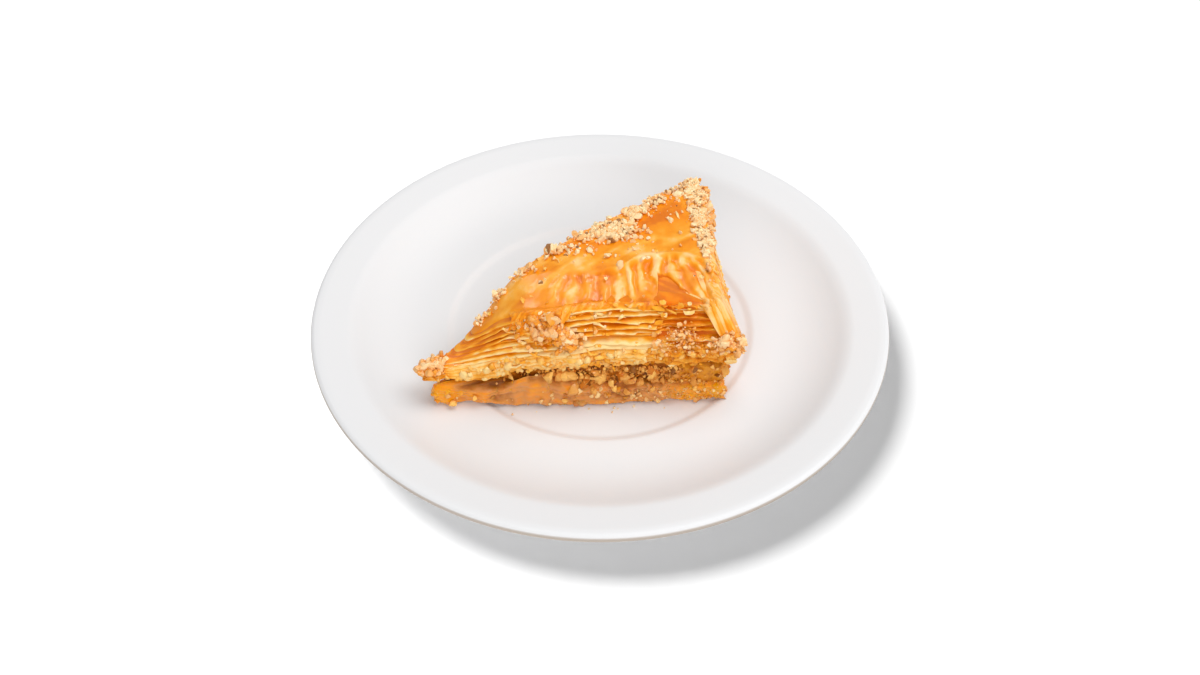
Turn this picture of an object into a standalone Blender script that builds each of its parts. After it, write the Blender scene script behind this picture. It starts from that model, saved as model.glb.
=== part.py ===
"""A triangular slice of walnut baklava on a round white plate.

The slice is three bodies that run right through it: a dense syrup-soaked bottom pastry, a layer of
chopped walnuts, and a tall stack of thin pastry leaves whose wavy edges step back towards the top.
Chopped nuts are stuck to the leaves. The plate is one turned body with a flat foot ring.
+X is the viewer's right, +Y is away from the viewer and +Z is up. Lengths are metres.
"""

import math

import bmesh
import bpy
import numpy as np
from mathutils import Matrix, Vector

MM = 0.001
GAP = 0.3 * MM  # left between two bodies that touch

# The plate, by radius from its axis and height above the table
PLATE_RADIUS = 82.5 * MM
PLATE_STEPS = 52
CENTRE_TOP = 6.0 * MM  # the round flat that the slice sits on
RING_INNER = 42.3 * MM  # a small step runs round the flat
RING_OUTER = 45.0 * MM
RING_STEP = 0.9 * MM
WALL_START = 50.0 * MM
WALL_POWER = 2.4
WALL_RISE = 6.6 * MM
RIM_INNER = 71.0 * MM
RIM_SLOPE = 0.16
RIM_BLEND = 1.2 * MM  # how softly the wall turns over into the rim
LIP_RADIUS = 1.5 * MM
PLATE_THICKNESS = 3.5 * MM
FOOT_INNER = 42.2 * MM
FOOT_OUTER = 46.2 * MM
FOOT_CHAMFER = 0.8 * MM
FOOT_RECESS = 2.4 * MM

# The slice's outlines in millimetres: left tip, front right corner, back corner
BOTTOM_CORNERS = ((-48.3, -31.6), (34.2, -29.3), (27.0, 27.0))
NUT_CORNERS = ((-47.2, -29.2), (33.0, -27.3), (26.2, 25.4))
LEAF_CORNERS = {  # by share of the leaf stack's height
    0.0: ((-52.0, -30.2), (35.5, -28.6), (28.5, 29.0)),
    0.35: ((-49.0, -27.8), (38.3, -27.8), (29.3, 29.8)),
    1.0: ((-38.0, -19.0), (31.5, -20.5), (28.2, 28.3)),
}
CORNER_RADIUS = 1.3 * MM
SIDE_POINTS = (24, 13, 20)  # along the front, the right and the back side
ARC_POINTS = 3
UNDERSIDE_SHELTER = 3.0 * MM  # keeps the flat faces under the slice above the plate's step
UNDERSIDE_INSET = 0.4 * MM
UNDERSIDE_RINGS = (0.6, 0.16, 0.0)  # by share of the way to the middle
BOTTOM_LEVELS = (  # share of the height, and how far the side is set in
    (0.15, 0.0 * MM),
    (0.45, -0.3 * MM),
    (0.62, 0.25 * MM),
    (0.85, -0.1 * MM),
    (1.0, 0.4 * MM),
)
BOTTOM_WAVE = 0.45 * MM
NUT_LEVELS = ((0.0, 0.0 * MM, 0.0), (0.35, -0.3 * MM, 1.0), (0.7, 0.0 * MM, 1.0), (1.0, 0.5 * MM, 0.0))
NUT_WAVE = 0.6 * MM
NUT_HOLLOW = 2.4 * MM  # towards the tip the nuts have sunk back from the front
NUT_HOLLOW_X = -36.0 * MM
NUT_HOLLOW_WIDTH = 9.0 * MM

# Heights above the table, from the tip at the left to the right side
TIP_X = -48.0 * MM
RIGHT_X = 34.0 * MM
BOTTOM_TOP = (14.3 * MM, 12.9 * MM)
NUTS_TOP = (15.7 * MM, 18.6 * MM)

# The leaf stack: its height over the nuts thins softly towards the tip
STACK_LEAST = 0.8 * MM
STACK_RISE = 19.0 * MM
TAPER_X = -30.6 * MM
TAPER_WIDTH = 4.8 * MM
FRONT_SHARE = 0.84  # the stack is this much lower along its front edge
FRONT_SLOPE = 13.0 * MM  # and is full this far behind it
FRONT_Y = -19.2 * MM
BOW_DEPTH = 3.4 * MM  # the upper leaves bulge forward left of the middle
BOW_X = -17.0 * MM
BOW_WIDTH = 13.0 * MM
SOAKED_SHARE = 0.31  # the lower leaves have sunk into one pale mass
SOAKED_LEVELS = ((0.07, 0.4 * MM), (0.17, -0.2 * MM), (0.28, 0.1 * MM))  # share, and how far it stands out
SHEET_SHARE = 0.955  # the top sheet starts here
LEAVES = 7
LEAF_SHARE = 0.6  # of each leaf's pitch is its edge, and the rest is the hollow over it
NOTCH_SHARE = 0.12  # of the pitch is the short slope into the hollow
LEAF_NOTCH = 0.8 * MM
LEAF_WAVE = 0.7 * MM
LEAF_SAG = 0.35 * MM
CUT_SIDE = 0.5  # the long back side, cut with a knife, is this much flatter
SHEET_OVERHANG = 0.6 * MM
SHEET_ROUNDING = 0.2 * MM
SHEET_RINGS = 8
SHEET_WAVE = 0.35 * MM

# Relief of the top sheet: a ledge across it, and folds that hang from the ledge to the front
LEDGE_Y = -6.5 * MM
LEDGE_DROP = 0.9 * MM
FOLD_PITCH = 6.2 * MM
FOLD_DEPTH = 0.75 * MM
FOLD_LEAN = 0.3
FOLDS_X = (5.0 * MM, 24.0 * MM)

# Chopped walnuts, the radii in millimetres
FILLING_GRAINS = 36
FILLING_GRAIN_RADII = (2.0, 1.1)
TOPPING_GRAINS = 72
TOPPING_GRAIN_RADII = (1.7, 0.85)
TOPPING_PATCHES = (  # centre and reach in plan, in millimetres, and how thickly it is strewn
    ((-19.0, -5.5), (5.0, 3.0), 1.0),
    ((-8.0, 2.0), (6.0, 3.0), 1.4),
    ((2.0, 5.0), (7.0, 5.0), 1.8),
    ((12.0, 13.0), (6.0, 4.0), 1.8),
    ((23.0, 22.0), (6.0, 6.5), 2.4),
    ((29.5, 6.0), (2.6, 9.0), 1.6),
    ((32.0, -12.0), (3.0, 6.0), 1.0),
    ((-15.0, -26.0), (6.0, 3.5), 1.6),
    ((19.0, -26.5), (6.0, 3.5), 1.6),
    ((33.0, -26.5), (6.0, 3.5), 1.6),
    ((-43.0, -26.0), (6.0, 3.5), 1.6),
    ((0.0, -25.0), (30.0, 3.5), 0.25),
    ((0.0, -10.0), (30.0, 12.0), 0.08),
)


def clear_scene():
    """Starts from an empty scene."""
    for item in list(bpy.data.objects):
        bpy.data.objects.remove(item, do_unlink=True)


def collection(name):
    """A new collection in the scene."""
    group = bpy.data.collections.new(name)
    bpy.context.scene.collection.children.link(group)
    return group


def finish(name, colour, roughness):
    """A plain material of one linear colour."""
    result = bpy.data.materials.new(name)
    result.use_nodes = True
    shader = result.node_tree.nodes["Principled BSDF"]
    shader.inputs["Base Color"].default_value = (*colour, 1.0)
    shader.inputs["Roughness"].default_value = roughness
    shader.inputs["Metallic"].default_value = 0.0
    return result


def smooth(low, high, value):
    """Rises softly from 0 at low to 1 at high."""
    t = np.clip((value - low) / (high - low), 0.0, 1.0)
    return t * t * (3.0 - 2.0 * t)


def ripple(x, y, length, seed):
    """Five crossing sine waves of about this length: a smooth random pattern between -1 and 1."""
    rng = np.random.default_rng(seed)
    total = np.zeros_like(x)
    for _ in range(5):
        angle, phase = rng.uniform(0.0, 2.0 * math.pi, 2)
        turns = (x * math.cos(angle) + y * math.sin(angle)) / (length * rng.uniform(0.7, 1.4))
        total += np.sin(2.0 * math.pi * turns + phase)
    return total / 3.5


def plate_top(radius):
    """Height of the plate's upper face: a flat, a small step, a curved wall, a gently rising rim."""
    floor = CENTRE_TOP + RING_STEP * smooth(RING_INNER, RING_OUTER, radius)
    climb = np.maximum(0.0, radius - WALL_START) / (RIM_INNER - WALL_START)
    wall = floor + WALL_RISE * climb**WALL_POWER
    outer = np.maximum(radius, WALL_START)
    rim = CENTRE_TOP + RING_STEP + WALL_RISE + RIM_SLOPE * (outer - RIM_INNER)
    overlap = np.maximum(RIM_BLEND - np.abs(wall - rim), 0.0) / RIM_BLEND
    return np.minimum(wall, rim) - overlap * overlap * RIM_BLEND / 4.0


def plate_profile():
    """The plate's section: out along the top, round the lip, and back along the underside."""
    top = np.array([0.0, 41.8, 43.2, 45.0, 52.0, 58.5, 63.5, 67.5, 70.2, 72.0, 79.5]) * MM
    section = list(zip(top, plate_top(top)))
    lip_x = PLATE_RADIUS - LIP_RADIUS
    lip_z = plate_top(lip_x) - LIP_RADIUS
    for angle in np.radians([60, 0, -60]):
        section.append((lip_x + LIP_RADIUS * math.cos(angle), lip_z + LIP_RADIUS * math.sin(angle)))
    under = np.array([75.0, 67.0, 58.0, 49.0]) * MM
    section += zip(under, plate_top(under) - PLATE_THICKNESS)
    section += [
        (FOOT_OUTER + FOOT_CHAMFER, FOOT_CHAMFER),
        (FOOT_OUTER, 0.0),
        (FOOT_INNER, 0.0),
        (FOOT_INNER - FOOT_CHAMFER, FOOT_CHAMFER),
        (FOOT_INNER - 2.0 * FOOT_CHAMFER, FOOT_RECESS),
        (0.0, FOOT_RECESS),
    ]
    return section


def make_plate(parts):
    """Turns the plate's section about the vertical axis."""
    section = plate_profile()
    mesh = bpy.data.meshes.new("plate")
    mesh.from_pydata([(r, 0.0, z) for r, z in section], [(i, i + 1) for i in range(len(section) - 1)], [])
    plate = bpy.data.objects.new("plate", mesh)
    parts.objects.link(plate)
    mesh.materials.append(finish("glazed porcelain", (0.83, 0.81, 0.79), 0.12))
    turn = plate.modifiers.new("turn", "SCREW")
    turn.axis = "Z"
    turn.steps = PLATE_STEPS
    turn.render_steps = PLATE_STEPS
    turn.use_merge_vertices = True
    turn.merge_threshold = 0.00001
    turn.use_smooth_shade = True


def outline(corners, inset=0.0):
    """Points and outward normals round a triangle with rounded corners, from the tip onwards.

    Corners are in millimetres; inset moves the sides inwards.
    """
    corners = [Vector(corner) * MM for corner in corners]
    sides = [(corners[(i + 1) % 3] - corners[i]).normalized() for i in range(3)]
    normals = [Vector((side.y, -side.x)) for side in sides]
    points = []
    facing = []
    centres = []
    for i in range(3):
        between = normals[i - 1] + normals[i]
        centres.append(corners[i] - between * (CORNER_RADIUS + inset) / between.dot(normals[i]))
    for i in range(3):
        turn = normals[i - 1].angle(normals[i])
        for k in range(ARC_POINTS):
            normal = Matrix.Rotation(turn * k / (ARC_POINTS - 1), 2) @ normals[i - 1]
            points.append(centres[i] + normal * CORNER_RADIUS)
            facing.append(normal)
        for k in range(1, SIDE_POINTS[i] + 1):
            along = centres[i].lerp(centres[(i + 1) % 3], k / (SIDE_POINTS[i] + 1))
            points.append(along + normals[i] * CORNER_RADIUS)
            facing.append(normals[i])
    return np.array(points), np.array(facing)


def leaf_outline(share):
    """The leaf stack's outline at this share of its height, with the bulge of the front."""
    levels = sorted(LEAF_CORNERS)
    tracks = np.array([LEAF_CORNERS[level] for level in levels]).reshape(len(levels), -1)
    corners = [np.interp(share, levels, track) for track in tracks.T]
    points, facing = outline(np.reshape(corners, (3, 2)))
    bow = BOW_DEPTH * share * np.exp(-(((points[:, 0] - BOW_X) / BOW_WIDTH) ** 2))
    points[:, 1] -= bow * np.maximum(-facing[:, 1], 0.0)
    return points, facing


def bottom_top(x):
    """Height of the bottom pastry's upper face."""
    return np.interp(x, (TIP_X, RIGHT_X), BOTTOM_TOP)


def nuts_top(x):
    """Height of the nut layer's upper face, curving up from the tip."""
    left = (RIGHT_X - x) / (RIGHT_X - TIP_X)
    return NUTS_TOP[1] - (NUTS_TOP[1] - NUTS_TOP[0]) * left * np.abs(left)


def stack_height(x, y):
    """Height of the leaf stack over the nuts."""
    full = STACK_LEAST + STACK_RISE / (1.0 + np.exp(-(x - TAPER_X) / TAPER_WIDTH))
    front_edge = FRONT_Y - BOW_DEPTH * np.exp(-(((x - BOW_X) / BOW_WIDTH) ** 2))
    return full * (FRONT_SHARE + (1.0 - FRONT_SHARE) * smooth(0.0, FRONT_SLOPE, y - front_edge))


def sheet_relief(x, y):
    """The ledge across the top sheet, the folds that hang from it, and gentle unevenness."""
    across = smooth(FOLDS_X[0] - 3 * MM, FOLDS_X[0] + 2 * MM, x)
    across = across * (1.0 - smooth(FOLDS_X[1], FOLDS_X[1] + 6 * MM, x))
    below = 1.0 - smooth(LEDGE_Y - 2 * MM, LEDGE_Y + 1 * MM, y)
    hang = smooth(-23 * MM, -18 * MM, y)
    phase = 2.0 * math.pi * (x + FOLD_LEAN * (y - LEDGE_Y)) / FOLD_PITCH
    folds = -LEDGE_DROP - FOLD_DEPTH * (1.0 + np.cos(phase)) / 2.0
    return across * below * hang * folds + SHEET_WAVE * ripple(x, y, 17 * MM, 5)


def leaf_height(x, y, share):
    """Height above the table of a leaf at this share of the stack."""
    return nuts_top(x) + GAP + share * stack_height(x, y)


def ring(points, heights):
    """A closed ring of points, in plan and height."""
    return np.column_stack([points, heights])


def loft(name, rings, parts, material):
    """A closed body through the rings, each end closed by a fan to its middle."""
    count = len(rings[0])
    bottom = rings[0].mean(axis=0)
    top = rings[-1].mean(axis=0)
    verts = np.vstack(rings + [bottom[None], top[None]])
    low_hub = len(verts) - 2
    high_hub = len(verts) - 1
    last = (len(rings) - 1) * count
    faces = []
    for i in range(count):
        j = (i + 1) % count
        faces.append((low_hub, j, i))
        faces.append((high_hub, last + i, last + j))
        for row in range(0, last, count):
            faces.append((row + i, row + j, row + count + j))
            faces.append((row + i, row + count + j, row + count + i))
    mesh = bpy.data.meshes.new(name)
    mesh.from_pydata(verts.tolist(), [], faces)
    mesh.materials.append(material)
    body = bpy.data.objects.new(name, mesh)
    parts.objects.link(body)
    return body


def inner_ring(points, share):
    """The points moved this share of the way to their middle."""
    return points + (points.mean(axis=0) - points) * share


def make_bottom(parts):
    """The soaked bottom pastry: its underside follows the plate and its sides bulge a little."""
    rings = []
    underside, _ = outline(BOTTOM_CORNERS, inset=UNDERSIDE_INSET)
    for share in UNDERSIDE_RINGS:
        points = inner_ring(underside, share)
        rings.append(ring(points, plate_top(np.hypot(*points.T) + UNDERSIDE_SHELTER) + GAP))
    floor = rings[-1][:, 2]
    for level, (share, inset) in enumerate(BOTTOM_LEVELS):
        points, facing = outline(BOTTOM_CORNERS, inset=inset)
        wave = BOTTOM_WAVE * ripple(points[:, 0], points[:, 1], 9 * MM, 20 + level)
        points = points + facing * wave[:, None]
        rings.append(ring(points, floor + share * (bottom_top(points[:, 0]) - floor)))
    syrup = finish("syrup soaked pastry", (0.52, 0.20, 0.035), 0.2)
    return loft("pastry_bottom", rings, parts, syrup)


def make_filling(parts):
    """The walnut layer: a lumpy core set back from the pastry, with chopped nuts that stand out."""
    rings = []
    for level, (share, inset, uneven) in enumerate(NUT_LEVELS):
        points, facing = outline(NUT_CORNERS, inset=inset)
        sunk = NUT_HOLLOW * np.exp(-(((points[:, 0] - NUT_HOLLOW_X) / NUT_HOLLOW_WIDTH) ** 2))
        points[:, 1] += sunk * np.maximum(-facing[:, 1], 0.0)
        wave = uneven * NUT_WAVE * ripple(points[:, 0], points[:, 1], 6 * MM, 30 + level)
        points = points + facing * wave[:, None]
        low = bottom_top(points[:, 0]) + GAP
        rings.append(ring(points, low + share * (nuts_top(points[:, 0]) - low)))
    middle = inner_ring(rings[-1][:, :2], 0.5)
    rings.append(ring(middle, nuts_top(middle[:, 0])))
    nuts = finish("chopped walnut", (0.30, 0.14, 0.05), 0.5)
    return loft("nut_filling", rings, parts, nuts)


def make_leaves(parts):
    """The leaf stack: a pale soaked part, stepped leaves with hollows between, and the top sheet."""
    rings = []
    underside, _ = leaf_outline(0.0)
    for share in (0.5, 0.0):
        points = inner_ring(underside, share)
        rings.append(ring(points, leaf_height(*points.T, 0.0)))
    levels = [(share, out, seed) for seed, (share, out) in enumerate(SOAKED_LEVELS)]
    pitch = (SHEET_SHARE - SOAKED_SHARE) / LEAVES
    for leaf in range(LEAVES):
        edge = SOAKED_SHARE + leaf * pitch
        seed = len(SOAKED_LEVELS) + leaf
        levels.append((edge, 0.0, seed))
        levels.append((edge + LEAF_SHARE * pitch, 0.0, seed))
        levels.append((edge + (LEAF_SHARE + NOTCH_SHARE) * pitch, -LEAF_NOTCH, seed))
    levels.append((SHEET_SHARE, SHEET_OVERHANG, len(SOAKED_LEVELS) + LEAVES))
    levels.append((1.0, SHEET_OVERHANG - SHEET_ROUNDING, len(SOAKED_LEVELS) + LEAVES))
    for share, out, seed in levels:
        points, facing = leaf_outline(share)
        x, y = points.T
        full = stack_height(x, y) / (STACK_LEAST + STACK_RISE)
        sag = LEAF_SAG * ripple(x, y, 14 * MM, 70 + seed) * full * smooth(0.0, 0.1, share)
        sag += (sheet_relief(x, y) - sag) * smooth(0.6, 1.0, share)
        shift = LEAF_WAVE * ripple(x, y, 11 * MM, 50 + seed) + out
        shift *= full * np.where(facing[:, 1] > 0.3, CUT_SIDE, 1.0)
        points = points + facing * np.maximum(shift, -0.9 * CORNER_RADIUS)[:, None]
        rings.append(ring(points, leaf_height(x, y, share) + sag))
    edge = rings[-1][:, :2]
    for step in range(1, SHEET_RINGS):
        points = inner_ring(edge, step / SHEET_RINGS)
        x, y = points.T
        rings.append(ring(points, leaf_height(x, y, 1.0) + sheet_relief(x, y)))
    honey = finish("baked pastry leaves", (0.80, 0.36, 0.07), 0.28)
    return loft("pastry_top", rings, parts, honey)


def faces_of(body):
    """Middles, outward normals and areas of a body's faces."""
    middles = np.array([face.center for face in body.data.polygons])
    normals = np.array([face.normal for face in body.data.polygons])
    areas = np.array([face.area for face in body.data.polygons])
    return middles, normals, areas


def spread(middles, weights, radii, allowed, rng):
    """Picks a face for each radius, largest first, so that no two grains sit on each other."""
    chosen = []
    order = rng.choice(len(middles), size=len(middles), replace=False, p=weights / weights.sum())
    for radius in radii:
        for index in order:
            apart = all(
                np.linalg.norm(middles[index] - middles[other]) > 0.85 * (radius + taken)
                for other, taken in chosen
            )
            if apart and allowed(index, radius):
                chosen.append((index, radius))
                break
    return chosen


def make_grain(name, centre, normal, radius, rng, group):
    """An uneven lump of twenty faces that lies inside this radius, flattened towards the surface."""
    shape = bmesh.new()
    bmesh.ops.create_icosphere(shape, subdivisions=1, radius=1.0)
    turn = Matrix.Rotation(rng.uniform(0.0, 2.0 * math.pi), 3, "Z")
    lie = Vector(normal).to_track_quat("Z", "Y").to_matrix() @ turn
    flat = Vector((1.0, rng.uniform(0.65, 0.95), rng.uniform(0.55, 0.85)))
    for vert in shape.verts:
        lump = vert.co * flat * rng.uniform(0.75, 1.0)
        vert.co = Vector(centre) + (lie @ lump) * radius
    mesh = bpy.data.meshes.new(name)
    shape.to_mesh(mesh)
    shape.free()
    group.objects.link(bpy.data.objects.new(name, mesh))


def fuse(body, group):
    """Joins the group's grains to the body, keeps the one largest piece, and drops the grains."""
    union = body.modifiers.new("fuse", "BOOLEAN")
    union.operation = "UNION"
    union.operand_type = "COLLECTION"
    union.collection = group
    union.solver = "EXACT"
    evaluated = body.evaluated_get(bpy.context.evaluated_depsgraph_get())
    joined = bpy.data.meshes.new_from_object(evaluated)
    body.modifiers.clear()
    body.data = joined
    shape = bmesh.new()
    shape.from_mesh(joined)
    bmesh.ops.delete(shape, geom=scraps(shape), context="VERTS")
    bmesh.ops.triangulate(shape, faces=shape.faces)
    shape.to_mesh(joined)
    shape.free()
    for grain in list(group.objects):
        bpy.data.objects.remove(grain, do_unlink=True)
    bpy.data.collections.remove(group)


def scraps(shape):
    """The vertices outside the shape's largest connected piece."""
    islands = []
    unseen = set(shape.verts)
    while unseen:
        island = {unseen.pop()}
        edge = list(island)
        while edge:
            near = {link.other_vert(vert) for vert in edge for link in vert.link_edges} & unseen
            unseen -= near
            island |= near
            edge = list(near)
        islands.append(island)
    islands.sort(key=len)
    return [vert for island in islands[:-1] for vert in island]


def stud_filling(body):
    """Chopped nuts along the sides of the filling, each within the height of the layer."""
    rng = np.random.default_rng(11)
    middles, normals, areas = faces_of(body)
    x = middles[:, 0]
    low = bottom_top(x) + GAP
    high = nuts_top(x)
    weights = areas * (np.abs(normals[:, 2]) < 0.5) * smooth(-30 * MM, -5 * MM, x) + 1e-12
    radii = np.linspace(*FILLING_GRAIN_RADII, FILLING_GRAINS) * MM

    def allowed(index, radius):
        """Whether a grain of this radius fits between the two pastries here."""
        return abs(normals[index][2]) < 0.5 and high[index] - low[index] > 2.1 * radius

    grains = collection("filling grains")
    for index, radius in spread(middles, weights, radii, allowed, rng):
        centre = middles[index] + normals[index] * radius * rng.uniform(-0.3, 0.35)
        centre[2] = np.clip(centre[2], low[index] + 1.04 * radius, high[index] - 1.04 * radius)
        make_grain("nut", centre, normals[index], radius, rng, grains)
    fuse(body, grains)


def stud_leaves(body):
    """Chopped nuts stuck to the leaves, thick in some patches and thin elsewhere."""
    rng = np.random.default_rng(7)
    middles, normals, areas = faces_of(body)
    x, y, z = middles.T
    strewn = np.zeros(len(middles))
    for (px, py), (reach_x, reach_y), amount in TOPPING_PATCHES:
        away = ((x / MM - px) / reach_x) ** 2 + ((y / MM - py) / reach_y) ** 2
        strewn += amount * np.exp(-away)
    weights = areas * strewn * (normals[:, 2] > -0.2) + 1e-15
    radii = np.geomspace(*TOPPING_GRAIN_RADII, TOPPING_GRAINS) * MM
    floor = leaf_height(x, y, 0.0)

    def allowed(index, radius):
        """Whether a grain of this radius stays clear of the layers below."""
        return normals[index][2] > -0.2 and z[index] - floor[index] > 1.2 * radius

    grains = collection("topping grains")
    for index, radius in spread(middles, weights, radii, allowed, rng):
        centre = middles[index] + normals[index] * radius * rng.uniform(0.0, 0.3)
        make_grain("crumb", centre, normals[index], radius, rng, grains)
    fuse(body, grains)


def main():
    """Builds the plate, then the slice from the bottom up."""
    clear_scene()
    parts = collection("baklava")
    make_plate(parts)
    make_bottom(parts)
    filling = make_filling(parts)
    leaves = make_leaves(parts)
    stud_filling(filling)
    stud_leaves(leaves)


main()
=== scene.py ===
"""Dresses a triangular slice of walnut baklava on its round white plate.

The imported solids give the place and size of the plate, the soaked bottom pastry, the nut layer and
the stack of baked leaves. Each is replaced here by what the real thing is made of: a glazed plate,
pressed syrupy leaves, chopped walnuts, separate thin leaves with torn edges, a glazed top sheet with
folds, and crumbs. Shapes are worked out in millimetres as whole arrays and turned to metres when
they become meshes.
"""

import logging
import math
from dataclasses import dataclass, field
from enum import Enum
import bmesh
import bpy
import numpy as np
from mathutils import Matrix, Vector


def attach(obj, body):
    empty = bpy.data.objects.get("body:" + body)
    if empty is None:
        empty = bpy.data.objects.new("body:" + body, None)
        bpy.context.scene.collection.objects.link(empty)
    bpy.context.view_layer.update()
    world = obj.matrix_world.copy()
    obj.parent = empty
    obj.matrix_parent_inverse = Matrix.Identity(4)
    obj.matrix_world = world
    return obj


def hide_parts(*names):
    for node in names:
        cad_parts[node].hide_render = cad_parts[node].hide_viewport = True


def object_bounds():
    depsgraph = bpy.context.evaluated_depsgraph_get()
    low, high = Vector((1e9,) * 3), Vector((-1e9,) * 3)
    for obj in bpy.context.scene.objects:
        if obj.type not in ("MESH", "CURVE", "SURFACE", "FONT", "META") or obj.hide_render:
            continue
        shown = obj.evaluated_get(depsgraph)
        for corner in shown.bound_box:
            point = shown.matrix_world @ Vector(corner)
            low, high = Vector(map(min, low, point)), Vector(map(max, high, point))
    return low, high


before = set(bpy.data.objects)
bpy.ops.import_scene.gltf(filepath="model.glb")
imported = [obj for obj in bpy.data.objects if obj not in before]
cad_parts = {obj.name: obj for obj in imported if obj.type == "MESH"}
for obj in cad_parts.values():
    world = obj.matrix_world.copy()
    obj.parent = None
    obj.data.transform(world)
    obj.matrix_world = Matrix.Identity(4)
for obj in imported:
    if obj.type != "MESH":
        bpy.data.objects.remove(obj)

Array = np.ndarray
MM = 0.001
LOG = logging.getLogger("baklava")
CAD_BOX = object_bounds()
CEILING = CAD_BOX[1][2] / MM - 0.03
LANE = 40.0


class Slot(Enum):
    """The material slots."""

    PORCELAIN = "porcelain"
    SOAKED = "soaked_pastry"
    WALNUT = "walnut"
    LEAVES = "baked_leaves"


class Node(Enum):
    """The solids that the pieces stand for."""

    PLATE = "plate"
    BOTTOM = "pastry_bottom"
    FILLING = "nut_filling"
    TOP = "pastry_top"


def smooth(low: float, high: float, value: Array) -> Array:
    """Rises softly from 0 at low to 1 at high: 3t^2 - 2t^3 of the clipped share t.

    Args:
        low: The value where the rise starts.
        high: The value where it ends.
        value: The values to ease.

    Returns:
        The eased shares.
    """
    t = np.clip((value - low) / (high - low), 0.0, 1.0)
    return t * t * (3.0 - 2.0 * t)


def plateau(value: Array, rise: tuple, fall: tuple) -> Array:
    """Rises softly over the first range of values and falls back over the second."""
    return smooth(*rise, value) * (1.0 - smooth(*fall, value))


def bell(value: Array, centre: float, width: float, power: int = 2) -> Array:
    """A bell curve: e to the minus power of the distance from the centre over the width."""
    return np.exp(-(((value - centre) / width) ** power))


def spots(x: Array, y: Array, patches: tuple) -> Array:
    """Soft oval spots added up, each its amount times a bell over X and a bell over Y.

    Args:
        x: Plan positions along X.
        y: Plan positions along Y.
        patches: For each spot its middle, its half widths and its amount.

    Returns:
        The total at each position.
    """
    return sum(amount * bell(x, px, rx) * bell(y, py, ry) for (px, py), (rx, ry), amount in patches)


def ripple(x: Array, y: Array, length: float, seed: int) -> Array:
    """Five crossing sine waves of about this length, a smooth pattern between -1 and 1.

    Args:
        x: Plan positions along X.
        y: Plan positions along Y.
        length: The typical wavelength, in millimetres.
        seed: Sets the directions and phases.

    Returns:
        The sum of the waves at each position.
    """
    rng = np.random.default_rng(seed)
    total = np.zeros_like(x)
    for _ in range(5):
        angle, phase = rng.uniform(0.0, 2.0 * math.pi, 2)
        turns = (x * math.cos(angle) + y * math.sin(angle)) / (length * rng.uniform(0.7, 1.4))
        total += np.sin(2.0 * math.pi * turns + phase)
    return total / 3.5


def hashed(cells: Array, seed: int) -> Array:
    """A random number between -1 and 1 for each cell, from its three indices mixed as integers.

    Args:
        cells: Whole-number cell indices, three to a cell.
        seed: Changes every number.

    Returns:
        One number for each cell.
    """
    x, y, z = (cells[..., axis].astype(np.uint32) for axis in range(3))
    mixed = x * np.uint32(73856093) ^ y * np.uint32(19349663) ^ z * np.uint32(83492791)
    mixed ^= np.uint32((seed * 2654435761) & 0xFFFFFFFF)
    mixed = (mixed ^ (mixed >> np.uint32(13))) * np.uint32(1274126177)
    mixed ^= mixed >> np.uint32(16)
    return mixed / 2.0**31 - 1.0


def noise(points: Array, size: float, seed: int) -> Array:
    """Smooth random values: numbers on a lattice of this cell size, eased between its corners.

    Args:
        points: Positions in millimetres, three numbers each.
        size: The lattice's cell size in millimetres.
        seed: Changes the pattern.

    Returns:
        A value between -1 and 1 for each point.
    """
    cells = points / size
    low = np.floor(cells)
    ease = cells - low
    ease = ease * ease * (3.0 - 2.0 * ease)
    low = low.astype(np.int64)
    total = np.zeros(points.shape[:-1])
    for corner in np.ndindex(2, 2, 2):
        weight = np.prod(np.where(corner, ease, 1.0 - ease), axis=-1)
        total += weight * hashed(low + corner, seed)
    return total


def rough(points: Array, *waves: tuple) -> Array:
    """Noise of several sizes added up; each wave gives its height, cell size and seed."""
    return sum(height * noise(points, size, seed) for height, size, seed in waves)


def fractal(points: Array, size: float, seed: int) -> Array:
    """Noise at this size plus finer and weaker noise, each half the size and half the height."""
    return rough(points, *((1.0 / 2**k, size / 2**k, seed + k) for k in range(3))) / 1.6


def lone(place: float, seed: int) -> Array:
    """One random value for a whole leaf: noise at this place along a line."""
    return noise(np.array([[0.0, 0.0, place]]), 1.0, seed)


def at_height(x: Array, y: Array, z: Array | float) -> Array:
    """Points from plan positions and heights."""
    return np.stack([x, y, np.broadcast_to(z, np.shape(x))], axis=-1)


def raised(plan: Array, height: Array | float) -> Array:
    """Plan points lifted to these heights."""
    return np.concatenate([plan, np.broadcast_to(height, plan.shape[:-1])[..., None]], axis=-1)


def unit(vectors: Array) -> Array:
    """The vectors scaled to length 1."""
    return vectors / np.linalg.norm(vectors, axis=-1, keepdims=True)


def frontal(facing: Array) -> Array:
    """How squarely each outline point faces the front, from 0 to 1."""
    return np.maximum(-facing[..., 1], 0.0)


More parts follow.
